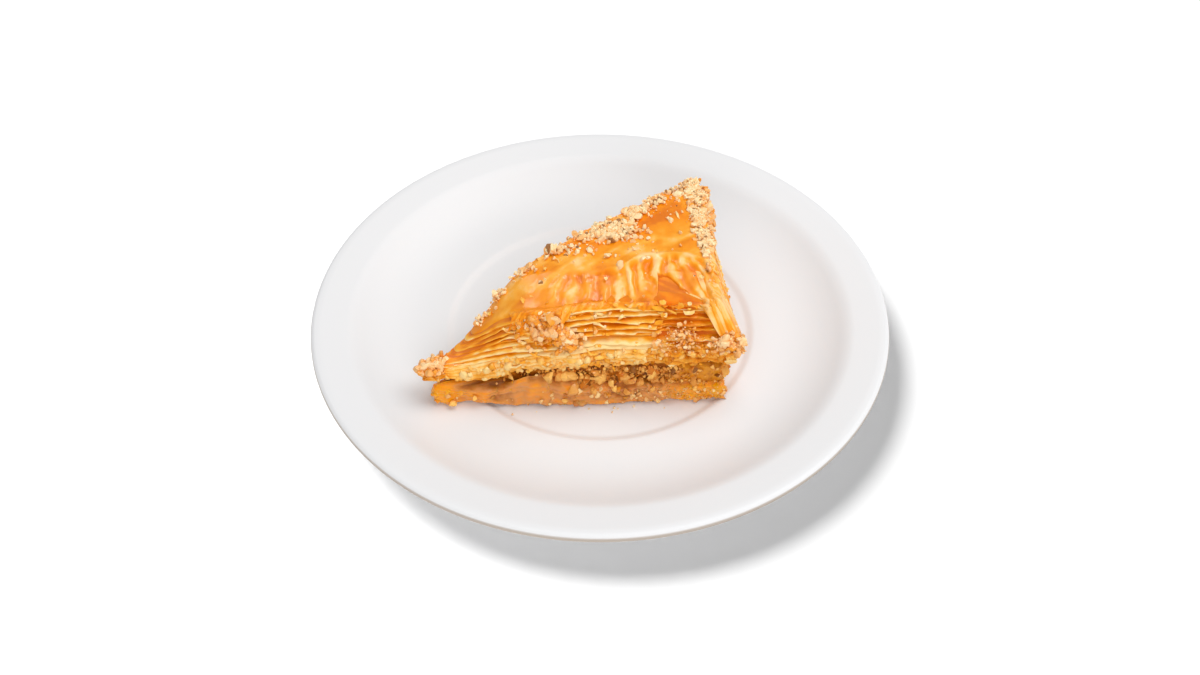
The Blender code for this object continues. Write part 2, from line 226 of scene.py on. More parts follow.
@dataclass
class Skin:
    """A surface on its way to a mesh: points in millimetres, triangles and values at the points."""

    points: Array
    faces: Array
    values: dict[str, Array] = field(default_factory=dict)

    def triangles(self) -> tuple[Array, Array, Array]:
        """Measures the triangles.

        Returns:
            Their middles, their unit normals and their areas in square millimetres.
        """
        corners = self.points[self.faces]
        a, b, c = np.moveaxis(corners, 1, 0)
        cross = np.cross(b - a, c - a)
        double = np.linalg.norm(cross, axis=1)
        return corners.mean(axis=1), cross / np.maximum(double, 1e-12)[:, None], double / 2.0

    def piece(
        self, name: str, material: bpy.types.Material, slot: Slot, node: Node, sharp: float = 180.0
    ) -> bpy.types.Object:
        """Makes the mesh and its object, riding on the root body.

        Args:
            name: The piece's name.
            material: Its finish.
            slot: The material slot that the finish belongs to; not used.
            node: The solid that the piece stands for.
            sharp: Edges that bend more than this many degrees stay sharp.

        Returns:
            The finished object.
        """
        mesh = bpy.data.meshes.new(name)
        mesh.vertices.add(len(self.points))
        mesh.vertices.foreach_set("co", (self.points * MM).astype(np.float32).ravel())
        mesh.loops.add(self.faces.size)
        mesh.loops.foreach_set("vertex_index", self.faces.astype(np.int32).ravel())
        mesh.polygons.add(len(self.faces))
        mesh.polygons.foreach_set("loop_start", np.arange(0, self.faces.size, 3, dtype=np.int32))
        mesh.update(calc_edges=True)
        for label, value in self.values.items():
            layer = mesh.attributes.new(label, "FLOAT", "POINT")
            layer.data.foreach_set("value", np.asarray(value, dtype=np.float32).ravel())
        mesh.shade_smooth()
        if sharp < 180.0:
            mesh.set_sharp_from_angle(angle=math.radians(sharp))
        mesh.materials.append(material)
        piece = bpy.data.objects.new(name, mesh)
        bpy.context.scene.collection.objects.link(piece)
        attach(piece, "root")
        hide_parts(node.value)
        LOG.info("%s: %d triangles", name, len(self.faces))
        return piece


def grid_faces(rows: int, columns: int, closed: bool) -> Array:
    """Triangles of a grid of points that is stored row by row.

    Args:
        rows: Rows of points.
        columns: Points in a row.
        closed: Whether each row joins its last point to its first.

    Returns:
        Three point indices for each triangle, facing out where rows run anticlockwise and rise.
    """
    index = np.arange(rows * columns).reshape(rows, columns)
    beside = np.roll(index, -1, axis=1) if closed else index[:, 1:]
    index = index if closed else index[:, :-1]
    lower = np.stack([index[:-1], beside[:-1], beside[1:]], axis=-1)
    upper = np.stack([index[:-1], beside[1:], index[1:]], axis=-1)
    return np.concatenate([lower.reshape(-1, 3), upper.reshape(-1, 3)])


def doubled_faces(rows: int, columns: int) -> Array:
    """Triangles of a thin closed leaf: two grids of points, and a band round their rims.

    Args:
        rows: Rows of points in each grid.
        columns: Points in a row.

    Returns:
        Three point indices for each triangle; the first grid faces out where rows run
        anticlockwise and descend, and the second faces the other way.
    """
    grid = grid_faces(rows, columns, False)
    start = rows * columns
    index = np.arange(start).reshape(rows, columns)
    rim = np.concatenate([index[0, :-1], index[:-1, -1], index[-1, :0:-1], index[:0:-1, 0]])
    follow = np.roll(rim, -1)
    near = np.stack([rim, follow, follow + start], axis=-1)
    far = np.stack([rim, follow + start, rim + start], axis=-1)
    return np.concatenate([grid[:, ::-1], grid + start, near, far])


def loft(rings: Array, values: dict[str, Array]) -> Skin:
    """A closed surface through a stack of rings, with a fan to the middle at either end.

    Args:
        rings: Points as rings × points in a ring × 3.
        values: Named values, rings × points in a ring.

    Returns:
        The closed surface.
    """
    rows, count, _ = rings.shape
    points = np.concatenate([rings.reshape(-1, 3), rings[:1].mean(axis=1), rings[-1:].mean(axis=1)])
    first = np.arange(count)
    last = first + (rows - 1) * count
    low_hub = np.full(count, rows * count)
    low_fan = np.stack([low_hub, np.roll(first, -1), first], axis=-1)
    high_fan = np.stack([low_hub + 1, last, np.roll(last, -1)], axis=-1)
    ends = {name: [value[0].mean(), value[-1].mean()] for name, value in values.items()}
    full = {name: np.concatenate([value.ravel(), ends[name]]) for name, value in values.items()}
    return Skin(points, np.concatenate([grid_faces(rows, count, True), low_fan, high_fan]), full)


def joined(skins: list[Skin]) -> Skin:
    """Makes one surface of several.

    Args:
        skins: The surfaces, which all carry the same values.

    Returns:
        The one surface.
    """
    starts = np.cumsum([0] + [len(skin.points) for skin in skins[:-1]])
    faces = np.concatenate([skin.faces + start for skin, start in zip(skins, starts)])
    values = {name: np.concatenate([skin.values[name] for skin in skins]) for name in skins[0].values}
    return Skin(np.concatenate([skin.points for skin in skins]), faces, values)


def strewn(skin: Skin, density: Array, count: int, rng: np.random.Generator) -> tuple[Array, Array]:
    """Random places on a surface, thicker where the density is greater.

    Args:
        skin: The surface.
        density: How thickly each triangle is strewn, for its area.
        count: How many places.
        rng: The random source.

    Returns:
        The places and the surface's normals there.
    """
    _, normals, areas = skin.triangles()
    weights = areas * density
    chosen = rng.choice(len(weights), size=count, p=weights / weights.sum())
    first, second = rng.uniform(size=(2, count, 1))
    over = first + second > 1.0
    first, second = np.where(over, 1.0 - first, first), np.where(over, 1.0 - second, second)
    a, b, c = (skin.points[skin.faces[chosen, k]] for k in range(3))
    return a + (b - a) * first + (c - a) * second, normals[chosen]


@dataclass(frozen=True)
class PlateForm:
    """The plate's section, by radius from its axis and height above the table, in millimetres."""

    radius: float = 82.5
    centre_top: float = 6.0
    ring_inner: float = 42.3
    ring_outer: float = 45.0
    ring_step: float = 0.9
    wall_start: float = 50.0
    wall_power: float = 2.4
    wall_rise: float = 6.6
    rim_inner: float = 71.0
    rim_slope: float = 0.16
    rim_blend: float = 1.2
    lip_radius: float = 1.5
    thickness: float = 3.5
    foot_inner: float = 42.2
    foot_outer: float = 46.2
    foot_chamfer: float = 0.8
    foot_recess: float = 2.4

    def top(self, radius: Array) -> Array:
        """Height of the upper face: a flat, a small step, a curved wall, a gently rising rim.

        Args:
            radius: Distances from the axis.

        Returns:
            The heights.
        """
        floor = self.centre_top + self.ring_step * smooth(self.ring_inner, self.ring_outer, radius)
        climb = np.maximum(0.0, radius - self.wall_start) / (self.rim_inner - self.wall_start)
        wall = floor + self.wall_rise * climb**self.wall_power
        outer = np.maximum(radius, self.wall_start)
        rim = self.centre_top + self.ring_step + self.wall_rise + self.rim_slope * (outer - self.rim_inner)
        overlap = np.maximum(self.rim_blend - np.abs(wall - rim), 0.0) / self.rim_blend
        return np.minimum(wall, rim) - overlap * overlap * self.rim_blend / 4.0

    def section(self) -> Array:
        """The outline from the axis along the top, round the lip, and back along the underside.

        Returns:
            Radius and height at each point.
        """
        upper = np.concatenate([[0.05, 14.0, 28.0], np.linspace(40.0, 79.5, 80)])
        lip_x = self.radius - self.lip_radius
        lip_middle = [lip_x, self.top(np.array(lip_x)) - self.lip_radius]
        turn = np.radians(np.linspace(82.0, -82.0, 15))
        lip = lip_middle + self.lip_radius * np.stack([np.cos(turn), np.sin(turn)], axis=-1)
        under = np.linspace(77.0, 48.6, 26)
        inner = self.foot_inner - 2.0 * self.foot_chamfer
        foot = [
            (self.foot_outer + self.foot_chamfer, self.foot_chamfer),
            (self.foot_outer + 0.15, 0.12),
            (self.foot_outer - 0.25, 0.0),
            (self.foot_inner + 0.25, 0.0),
            (self.foot_inner - 0.15, 0.12),
            (self.foot_inner - self.foot_chamfer, self.foot_chamfer),
            (inner, self.foot_recess - 0.15),
            (inner - 0.5, self.foot_recess),
            (0.05, self.foot_recess),
        ]
        top = np.stack([upper, self.top(upper)], axis=-1)
        bottom = np.stack([under, self.top(under) - self.thickness], axis=-1)
        return np.concatenate([top, lip, bottom, foot])


@dataclass(frozen=True)
class SliceForm:
    """The outlines and heights that all layers of the slice follow, in millimetres.

    A level's corners are its left tip, front right corner and back corner.
    """

    bottom_corners: tuple = ((-48.3, -32.0), (34.2, -29.6), (27.0, 27.0))
    nut_corners: tuple = ((-47.8, -30.4), (33.4, -28.2), (26.2, 25.4))
    leaf_levels: tuple = (0.0, 0.35, 1.0)
    leaf_corners: tuple = (
        ((-52.0, -30.2), (35.5, -28.6), (28.5, 29.0)),
        ((-49.0, -27.8), (38.3, -27.8), (29.3, 29.8)),
        ((-38.0, -19.0), (31.5, -20.5), (28.2, 28.3)),
    )
    corner_radius: float = 1.3
    side_points: tuple = (300, 190, 320)
    arc_points: int = 12
    gap: float = 0.3
    tip_x: float = -48.0
    right_x: float = 34.0
    bottom_heights: tuple = (14.3, 12.9)
    nut_heights: tuple = (15.7, 18.6)
    stack_least: float = 0.8
    stack_rise: float = 19.0
    taper_x: float = -30.6
    taper_width: float = 4.8
    front_share: float = 0.84
    front_slope: float = 13.0
    front_y: float = -19.2
    bow_depth: float = 3.4
    bow_x: float = -17.0
    bow_width: float = 13.0
    heap_place: tuple = (27.5, 26.0)
    heap_width: float = 6.0
    heap_room: float = 1.4

    def outline(self, corners: Array, inset: float = 0.0) -> tuple[Array, Array]:
        """Points and outward normals round a triangle whose corners are arcs, from the tip onwards.

        Args:
            corners: The three corners.
            inset: How far the sides are moved inwards.

        Returns:
            The points and their normals, anticlockwise.
        """
        corners = np.asarray(corners, dtype=float)
        sides = unit(np.roll(corners, -1, axis=0) - corners)
        normals = np.stack([sides[:, 1], -sides[:, 0]], axis=-1)
        before = np.roll(normals, 1, axis=0)
        between = before + normals
        reach = (self.corner_radius + inset) / np.sum(between * normals, axis=1)
        centres = corners - between * reach[:, None]
        points = []
        facing = []
        for i in range(3):
            start = math.atan2(before[i, 1], before[i, 0])
            turn = math.acos(float(np.clip(before[i] @ normals[i], -1.0, 1.0)))
            angles = start + turn * np.linspace(0.0, 1.0, self.arc_points)
            arc = np.stack([np.cos(angles), np.sin(angles)], axis=-1)
            share = np.arange(1, self.side_points[i] + 1)[:, None] / (self.side_points[i] + 1)
            along = centres[i] + (centres[(i + 1) % 3] - centres[i]) * share
            side = np.broadcast_to(normals[i], along.shape)
            points += [centres[i] + arc * self.corner_radius, along + side * self.corner_radius]
            facing += [arc, side]
        return np.concatenate(points), np.concatenate(facing)

    def bow(self, x: Array) -> Array:
        """How far the stack's front bulges out along Y: a bell over x."""
        return self.bow_depth * bell(x, self.bow_x, self.bow_width)

    def leaf_outline(self, share: float, inset: float = 0.0) -> tuple[Array, Array]:
        """The leaf stack's outline at one height, with the bulge of its front.

        Args:
            share: The share of the stack's height.
            inset: How far the sides are moved inwards.

        Returns:
            The points and their normals, anticlockwise.
        """
        tracks = np.array(self.leaf_corners).reshape(len(self.leaf_levels), -1)
        corners = [np.interp(share, self.leaf_levels, track) for track in tracks.T]
        points, facing = self.outline(np.reshape(corners, (3, 2)), inset)
        points[:, 1] -= share * self.bow(points[:, 0]) * frontal(facing)
        return points, facing

    def leaf_rings(self, shares: Array, inset: float = 0.0) -> tuple[Array, Array]:
        """The outlines at these shares and their normals, as rings × points × 2."""
        outlines = [self.leaf_outline(share, inset) for share in shares]
        return np.array([points for points, _ in outlines]), np.array([facing for _, facing in outlines])

    def bottom_top(self, x: Array) -> Array:
        """Height of the bottom pastry's upper face."""
        return np.interp(x, (self.tip_x, self.right_x), self.bottom_heights)

    def nuts_top(self, x: Array) -> Array:
        """Height of the nut layer's upper face, a parabola that curves up from the tip.

        Args:
            x: Plan positions along X.

        Returns:
            The heights.
        """
        left = (self.right_x - x) / (self.right_x - self.tip_x)
        low, high = self.nut_heights
        return high - (high - low) * left * np.abs(left)

    def stack_height(self, x: Array, y: Array) -> Array:
        """Height of the leaf stack over the nuts: thin at the tip, and lower along its front.

        A logistic curve over x, less a bell at the back corner, eased down towards the front edge.

        Args:
            x: Plan positions along X.
            y: Plan positions along Y.

        Returns:
            The heights.
        """
        full = self.stack_least + self.stack_rise / (1.0 + np.exp(-(x - self.taper_x) / self.taper_width))
        full = full - self.heap_room * self.heap(x, y)
        back = smooth(0.0, self.front_slope, y - self.front_y + self.bow(x))
        return full * (self.front_share + (1.0 - self.front_share) * back)

    def heap(self, x: Array, y: Array) -> Array:
        """A bell over the back corner, where the crumbs are heaped and the leaves lie lower."""
        return spots(x, y, ((self.heap_place, (self.heap_width, self.heap_width), 1.0),))

    def fullness(self, x: Array, y: Array) -> Array:
        """The stack's height as a share of its greatest, which tames waves near the thin tip."""
        return self.stack_height(x, y) / (self.stack_least + self.stack_rise)

    def leaf_height(self, x: Array, y: Array, share: Array | float) -> Array:
        """Height above the table of a leaf at this share of the stack."""
        return self.nuts_top(x) + self.gap + share * self.stack_height(x, y)

    def leaf_points(self, plan: Array, share: Array | float) -> Array:
        """Plan points lifted to a leaf at this share of the stack."""
        return raised(plan, self.leaf_height(*np.moveaxis(plan, -1, 0), share))


def linear(code: str) -> tuple[float, float, float, float]:
    """Turns an sRGB hex colour to linear light: a straight foot, then a power of 2.4.

    Args:
        code: Six hex digits.

    Returns:
        Linear red, green and blue, and an alpha of 1.
    """
    parts = [int(code[i : i + 2], 16) / 255.0 for i in (0, 2, 4)]
    red, green, blue = (c / 12.92 if c <= 0.04045 else ((c + 0.055) / 1.055) ** 2.4 for c in parts)
    return red, green, blue, 1.0


def plug(tree: bpy.types.NodeTree, node: bpy.types.Node, inputs: dict) -> None:
    """Sets a node's sockets.

    Args:
        tree: The node tree.
        node: The node.
        inputs: Sockets by name or number, each with a value or an output socket to link.
    """
    for name, value in inputs.items():
        if isinstance(value, bpy.types.NodeSocket):
            tree.links.new(value, node.inputs[name])
        else:
            node.inputs[name].default_value = value


def add_node(
    tree: bpy.types.NodeTree, kind: str, out: str | int, inputs: dict | None = None, **settings: object
) -> bpy.types.NodeSocket:
    """Adds a shader node with its settings and links.

    Args:
        tree: The material's node tree.
        kind: The node's type, without its ShaderNode prefix.
        out: The output socket that is wanted, by name or number.
        inputs: Sockets by name or number, each with a value or an output socket to link.
        settings: Properties of the node; "stops" lists a colour ramp's places and hex colours.

    Returns:
        The wanted output socket.
    """
    node = tree.nodes.new("ShaderNode" + kind)
    stops = settings.pop("stops", ())
    for place, _ in stops[2:]:
        node.color_ramp.elements.new(place)
    for number, (place, code) in enumerate(stops):
        node.color_ramp.elements[number].position = place
        node.color_ramp.elements[number].color = linear(code)
    for name, value in settings.items():
        setattr(node, name, value)
    plug(tree, node, inputs or {})
    return node.outputs[out]


def new_material(name: str) -> tuple[bpy.types.Material, bpy.types.NodeTree, bpy.types.Node]:
    """An empty material with its Principled shader wired to the output.

    Args:
        name: The finish's name.

    Returns:
        The material, its node tree and its Principled shader.
    """
    material = bpy.data.materials.new(name)
    material.use_nodes = True
    return material, material.node_tree, material.node_tree.nodes["Principled BSDF"]


@dataclass(frozen=True)
class GlazedPorcelain:
    """Porcelain, slip cast and dipped in clear glaze: a bright white body under a hard, even gloss."""

    name: str = "glazed porcelain"
    colour: str = "ECECED"
    bare_foot_and_lip_shade_colour: str = "B7AA9E"
    roughness: float = 0.34
    bare_roughness: float = 0.6
    wave_mm: float = 26.0
    relief_mm: float = 0.15

    def build(self) -> bpy.types.Material:
        """Lets the glaze wave very slightly, leave the foot's ring unglazed, and give the lip's outer edge
        the same darker colour as painted shade.

        Returns:
            The material.
        """
        material, tree, shader = new_material(self.name)
        place = add_node(tree, "TexCoord", "Object")
        # This value gives the unglazed foot ring its colour, and the lip's outer edge the same darker
        # colour as painted shade.
        bare = add_node(tree, "Attribute", "Fac", attribute_name="bare")
        scale = 1.0 / (self.wave_mm * MM)
        wave = add_node(tree, "TexNoise", "Fac", {"Vector": place, "Scale": scale, "Detail": 1.0})
        relief = {"Height": wave, "Distance": self.relief_mm * MM, "Strength": 0.25}
        colours = {0: bare, 6: linear(self.colour), 7: linear(self.bare_foot_and_lip_shade_colour)}
        gloss = {"Value": bare, "To Min": self.roughness, "To Max": self.bare_roughness}
        sockets = {
            "Base Color": add_node(tree, "Mix", 2, colours, data_type="RGBA"),
            "Roughness": add_node(tree, "MapRange", "Result", gloss),
            "Normal": add_node(tree, "Bump", "Normal", relief),
            "IOR": 1.5,
        }
        plug(tree, shader, sockets)
        return material


@dataclass(frozen=True)
class BakedLeaf:
    """Phyllo pastry, rolled paper thin, buttered, baked and soaked: golden, see-through and syrupy.

    The value "bake" runs from pale cream where the edge is dry to deep orange where syrup pools. In
    places it also deepens as painted shade in creases, folds and gaps, and pales as painted
    highlight on ridges.
    """

    name: str = "baked phyllo"
    stops: tuple = (
        (0.0, "FFDE98"),
        (0.25, "FFC04A"),
        (0.5, "FBA51C"),
        (0.75, "F28C04"),
        (1.0, "DE7200"),
    )
    mottle_mm: float = 2.2
    grain_mm: float = 0.55
    mottle: float = 0.22
    roughness: float = 0.4
    specular: float = 0.3
    coat: float = 0.4
    coat_roughness: float = 0.14
    glow: float = 0.0
    glow_mm: float = 1.6
    glow_reach: tuple = (1.0, 0.42, 0.12)
    relief_mm: float = 0.09

    def build(self) -> bpy.types.Material:
        """Takes the colour from the bake, mottled at two scales; light scatters in the thin leaf.

        Returns:
            The material.
        """
        material, tree, shader = new_material(self.name)
        place = add_node(tree, "TexCoord", "Object")
        bake = add_node(tree, "Attribute", "Fac", attribute_name="bake")
        mottle, grain = (
            add_node(
                tree, "TexNoise", "Fac", {"Vector": place, "Scale": 1.0 / (size * MM), "Detail": detail}
            )
            for size, detail in ((self.mottle_mm, 3.0), (self.grain_mm, 2.0))
        )
        spread = {0: mottle, 1: 2.0 * self.mottle, 2: -self.mottle}
        patch = add_node(tree, "Math", 0, spread, operation="MULTIPLY_ADD")
        amount = add_node(tree, "Math", 0, {0: bake, 1: patch}, operation="ADD")
        relief = {"Height": grain, "Distance": self.relief_mm * MM, "Strength": 0.6}
        sockets = {
            "Base Color": add_node(tree, "ValToRGB", "Color", {0: amount}, stops=self.stops),
            "Normal": add_node(tree, "Bump", "Normal", relief),
            "Roughness": self.roughness,
            "IOR": 1.45,
            "Specular IOR Level": self.specular,
            "Coat Weight": self.coat,
            "Coat Roughness": self.coat_roughness,
            "Coat IOR": 1.47,
            "Subsurface Weight": self.glow,
            "Subsurface Radius": self.glow_reach,
            "Subsurface Scale": self.glow_mm * MM,
        }
        plug(tree, shader, sockets)
        return material


@dataclass(frozen=True)
class Walnut:
    """Walnut kernel, chopped: cream flesh that goes tan where syrup has soaked in, under brown skin.

    The value "tone" runs from pale flesh to tan, and on lumps' undersides it also carries painted
    shade; "husk" is 1 where the papery skin is left on.
    """

    name: str = "chopped walnut"
    pale: str = "FFEBBC"
    tan: str = "F49E2C"
    husk_light: str = "C08850"
    husk_dark: str = "7C4A26"
    grain_mm: float = 0.5
    relief_mm: float = 0.12
    roughness: float = 0.5
    specular: float = 0.25
    coat: float = 0.15
    coat_roughness: float = 0.2

    def build(self) -> bpy.types.Material:
        """Mixes flesh and skin by the husk value, with a ragged line between them and a fine grain.

        Returns:
            The material.
        """
        material, tree, shader = new_material(self.name)
        place = add_node(tree, "TexCoord", "Object")
        tone = add_node(tree, "Attribute", "Fac", attribute_name="tone")
        husk = add_node(tree, "Attribute", "Fac", attribute_name="husk")
        scale = 1.0 / (self.grain_mm * MM)
        grain = add_node(tree, "TexNoise", "Fac", {"Vector": place, "Scale": scale, "Detail": 3.0})
        pairs = ((tone, self.pale, self.tan), (grain, self.husk_dark, self.husk_light))
        flesh, skin = (
            add_node(tree, "Mix", 2, {0: share, 6: linear(first), 7: linear(second)}, data_type="RGBA")
            for share, first, second in pairs
        )
        ragged = add_node(tree, "Math", 0, {0: grain, 1: 0.5, 2: husk}, operation="MULTIPLY_ADD")
        edge = add_node(tree, "MapRange", "Result", {"Value": ragged, "From Min": 0.68, "From Max": 0.82})
        relief = {"Height": grain, "Distance": self.relief_mm * MM, "Strength": 0.7}
        sockets = {
            "Base Color": add_node(tree, "Mix", 2, {0: edge, 6: flesh, 7: skin}, data_type="RGBA"),
            "Normal": add_node(tree, "Bump", "Normal", relief),
            "Roughness": self.roughness,
            "Specular IOR Level": self.specular,
            "Coat Weight": self.coat,
            "Coat Roughness": self.coat_roughness,
        }
        plug(tree, shader, sockets)
        return material


@dataclass(frozen=True)
class PaperFloor:
    """Seamless white backdrop paper, matt and even."""

    name: str = "white backdrop paper"
    colour: str = "FBFBFB"

    def build(self) -> bpy.types.Material:
        """Makes a matt white with almost no shine.

        Returns:
            The material.
        """
        material, tree, shader = new_material(self.name)
        sockets = {"Base Color": linear(self.colour), "Roughness": 0.9, "Specular IOR Level": 0.1}
        plug(tree, shader, sockets)
        return material


@dataclass
class Plate:
    """The round plate, one turned wall with a foot ring."""

    form: PlateForm
    finish: GlazedPorcelain = GlazedPorcelain()
    steps: int = 240
    bare_foot: float = 0.6

    def build(self) -> bpy.types.Object:
        """Carries the section round the axis: each ring is one section point at every angle.

        Returns:
            The plate.
        """
        radius, height = self.form.section()[::-1].T[..., None]
        angles = np.linspace(0.0, 2.0 * math.pi, self.steps, endpoint=False)
        rings = at_height(radius * np.cos(angles), radius * np.sin(angles), height)
        foot = self.bare_foot * (height < 0.05)
        # Painted shade: the lip's outermost edge takes the darker foot colour, a thin dark line where the
        # rim turns under.
        lip = smooth(self.form.radius - 0.3, self.form.radius - 0.02, radius)
        skin = loft(rings, {"bare": np.broadcast_to(foot + lip, rings.shape[:2])})
        return skin.piece("glazed_plate", self.finish.build(), Slot.PORCELAIN, Node.PLATE)


@dataclass(frozen=True)
class LeafCut:
    """How one leaf's edge is torn, waved and coloured, in millimetres."""

    share: float
    thickness: float
    out: float
    ragged: float
    wave: float
    droop: float
    bake: float
    swell: float
    plump: float
    seed: int
    bundle: int


@dataclass
class LeafStack:
    """Bundles of thin leaves between the soaked leaves and the top sheet, and the mass behind them.

    Each bundle has three leaves: "treads" gives their places in the bundle, how far they stand out
    and their thicknesses. "swells" names the leaves that are thicker in the middle: the bundle, the
    leaf in it and by how much. "insets" gives the rings of a leaf by their distance from its edge,
    and "core_shares" the core's lowest and highest share of the stack and its number of rings.
    """

    form: SliceForm
    baked: BakedLeaf = BakedLeaf()
    # Painted shade in part: the core's deep orange is syrup in the inner leaves, and it also stands in for
    # the shade in the gaps between the leaf edges.
    heart: BakedLeaf = BakedLeaf(
        name="syrup in the hollows",
        stops=((0.0, "FF980A"), (0.3, "F48602"), (0.6, "E67600"), (0.8, "D06400"), (1.0, "B05000")),
        coat=0.5,
        glow=0.5,
    )
    bundles: int = 7
    treads: tuple = ((0.06, -0.75, 0.3), (0.28, -0.45, 0.28), (0.55, 0.3, 0.42))
    swells: tuple = ((0, 2, 1.0), (1, 2, 0.5))
    low_share: float = 0.33
    top_share: float = 0.95
    cut_side: float = 0.85
    break_x: float = 15.6
    insets: tuple = (14.0, 6.0, 3.0, 1.6, 0.8, 0.3, 0.08)
    core_shares: tuple = (0.01, 0.93, 16)
    core_inset: float = 2.2
    seed: int = 3

    def leaf(self, cut: LeafCut) -> Skin:
        """One closed thin leaf that reaches right through the slice.

        The rings run outwards along the underside, round the torn edge and back along the top. The
        edge is the outline pushed in and out by noise; heights follow the leaf's share of the stack,
        plus waves that grow towards the edge, less a droop over the last millimetre or two.

        Args:
            cut: The leaf's place and manner.

        Returns:
            The leaf's surface, with its bake.
        """
        form, seed = self.form, cut.seed
        points, facing = form.leaf_outline(cut.share)
        own = raised(points, LANE * seed)
        full = form.fullness(*points.T)
        end = self.break_x + 1.3 * lone(3.7 * seed, 80)
        broken = smooth(-0.3, 0.3, points[:, 0] - end) * frontal(facing)
        flat = np.where(facing[:, 1] > 0.3, self.cut_side, 1.0) * (0.15 + 0.85 * full)
        torn = 1.5 * smooth(0.2, 0.45, noise(own, 6.0, seed + 90))
        ragged = 0.8 * noise(raised(points, LANE * cut.bundle), 10.0, 77)
        ragged += rough(own, (0.45, 3.4, seed + 30), (0.34, 1.1, seed + 60))
        push = (cut.out - 1.5 * broken + cut.ragged * (1.0 + 0.6 * broken) * (ragged - torn)) * flat
        edge = points + facing * np.maximum(push, -1.5 * form.corner_radius)[:, None]
        middle = points.mean(axis=0)
        reach = np.linalg.norm(middle - edge, axis=1)
        insets = np.array(self.insets)
        steps = np.concatenate([-insets, [0.0], insets[::-1]])[:, None]
        away = np.minimum(np.abs(steps), 0.8 * reach)
        plan = edge + (middle - edge) * (away / reach)[..., None]
        x, y = np.moveaxis(plan, -1, 0)
        spot = raised(plan, LANE * seed)
        loose = np.exp(-away / 5.0) * full
        lift = rough(raised(plan, LANE * cut.bundle), (0.75, 13.0, 78), (0.4, 4.5, 76))
        lift += cut.wave * rough(spot, (1.0, 6.0, seed + 7), (0.5, 2.6, seed + 8))
        lift += 0.5 * lone(3.3 * cut.bundle, 79) * broken
        droop = cut.droop * (1.0 - smooth(0.0, 2.2, away)) * (0.7 + 0.6 * noise(spot, 5.0, seed + 9))
        thick = cut.swell * bell(x, 5.0, 9.0) * (0.7 + 0.5 * noise(spot, 4.0, 75))
        thick += cut.plump * smooth(-12.0, -24.0, x) * (0.7 + 0.6 * noise(spot, 3.0, 74))
        half = (cut.thickness + thick) / 2.0 * (0.35 + 0.65 * full) * np.sqrt(smooth(-0.02, 0.35, away))
        z = form.leaf_height(x, y, cut.share) + lift * loose - droop * full + np.sign(steps) * half
        bake = cut.bake + 0.45 * smooth(0.15, 2.0, away) + 0.3 * broken + 0.4 * smooth(-14.0, -28.0, x)
        bake += rough(spot, (0.3, 5.0, seed + 10), (0.28, 1.6, seed + 11)) - 0.55 * thick
        return loft(raised(plan, z), {"bake": bake - 0.2 * (1.0 - smooth(0.0, 0.4, away))})

    def cuts(self) -> list[LeafCut]:
        """Draws the leaves from the bottom up; in each bundle the top leaf stands out the most.

        Returns:
            Each leaf's place and manner.
        """
        rng = np.random.default_rng(self.seed)
        pitch = (self.top_share - self.low_share) / self.bundles
        swells = {(bundle, k): swell for bundle, k, swell in self.swells}
        cuts = []
        for bundle in range(self.bundles):
            base = self.low_share + pitch * (bundle + rng.uniform(-0.12, 0.12))
            bundle_out = rng.uniform(-0.2, 0.4)
            pale = max(0.0, 0.36 - 0.12 * bundle)
            for k, (place, out, thickness) in enumerate(self.treads):
                cut = LeafCut(
                    share=float(base + pitch * (place + rng.uniform(-0.05, 0.05))),
                    thickness=thickness * rng.uniform(0.85, 1.2) + 0.4 * pale,
                    out=bundle_out + out + rng.uniform(-0.15, 0.15),
                    ragged=rng.uniform(0.5, 0.9),
                    wave=rng.uniform(0.1, 0.25),
                    droop=rng.uniform(0.2, 0.6),
                    bake=0.34 - pale + rng.uniform(-0.08, 0.1),
                    swell=swells.get((bundle, k), 0.0),
                    plump=0.6 if k == 2 else 0.0,
                    seed=200 + 10 * bundle + k,
                    bundle=bundle,
                )
                cuts.append(cut)
        return cuts

    def core(self) -> Skin:
        """The mass behind the leaf edges: the stack's outline set back, from the nuts to the sheet.

        Returns:
            The surface, with its bake.
        """
        shares = np.linspace(*self.core_shares)
        plan, _ = self.form.leaf_rings(shares, self.core_inset)
        rings = self.form.leaf_points(plan, shares[:, None])
        return loft(rings, {"bake": 0.4 + 0.4 * noise(rings, 4.0, 17)})

    def build(self) -> list[bpy.types.Object]:
        """Makes the core and every leaf.

        Returns:
            The pieces.
        """
        finish = self.baked.build()
        pieces = [self.core().piece("leaf_core", self.heart.build(), Slot.LEAVES, Node.TOP)]
        for number, cut in enumerate(self.cuts(), 1):
            pieces.append(self.leaf(cut).piece(f"baked_leaf_{number:02d}", finish, Slot.LEAVES, Node.TOP))
        return pieces


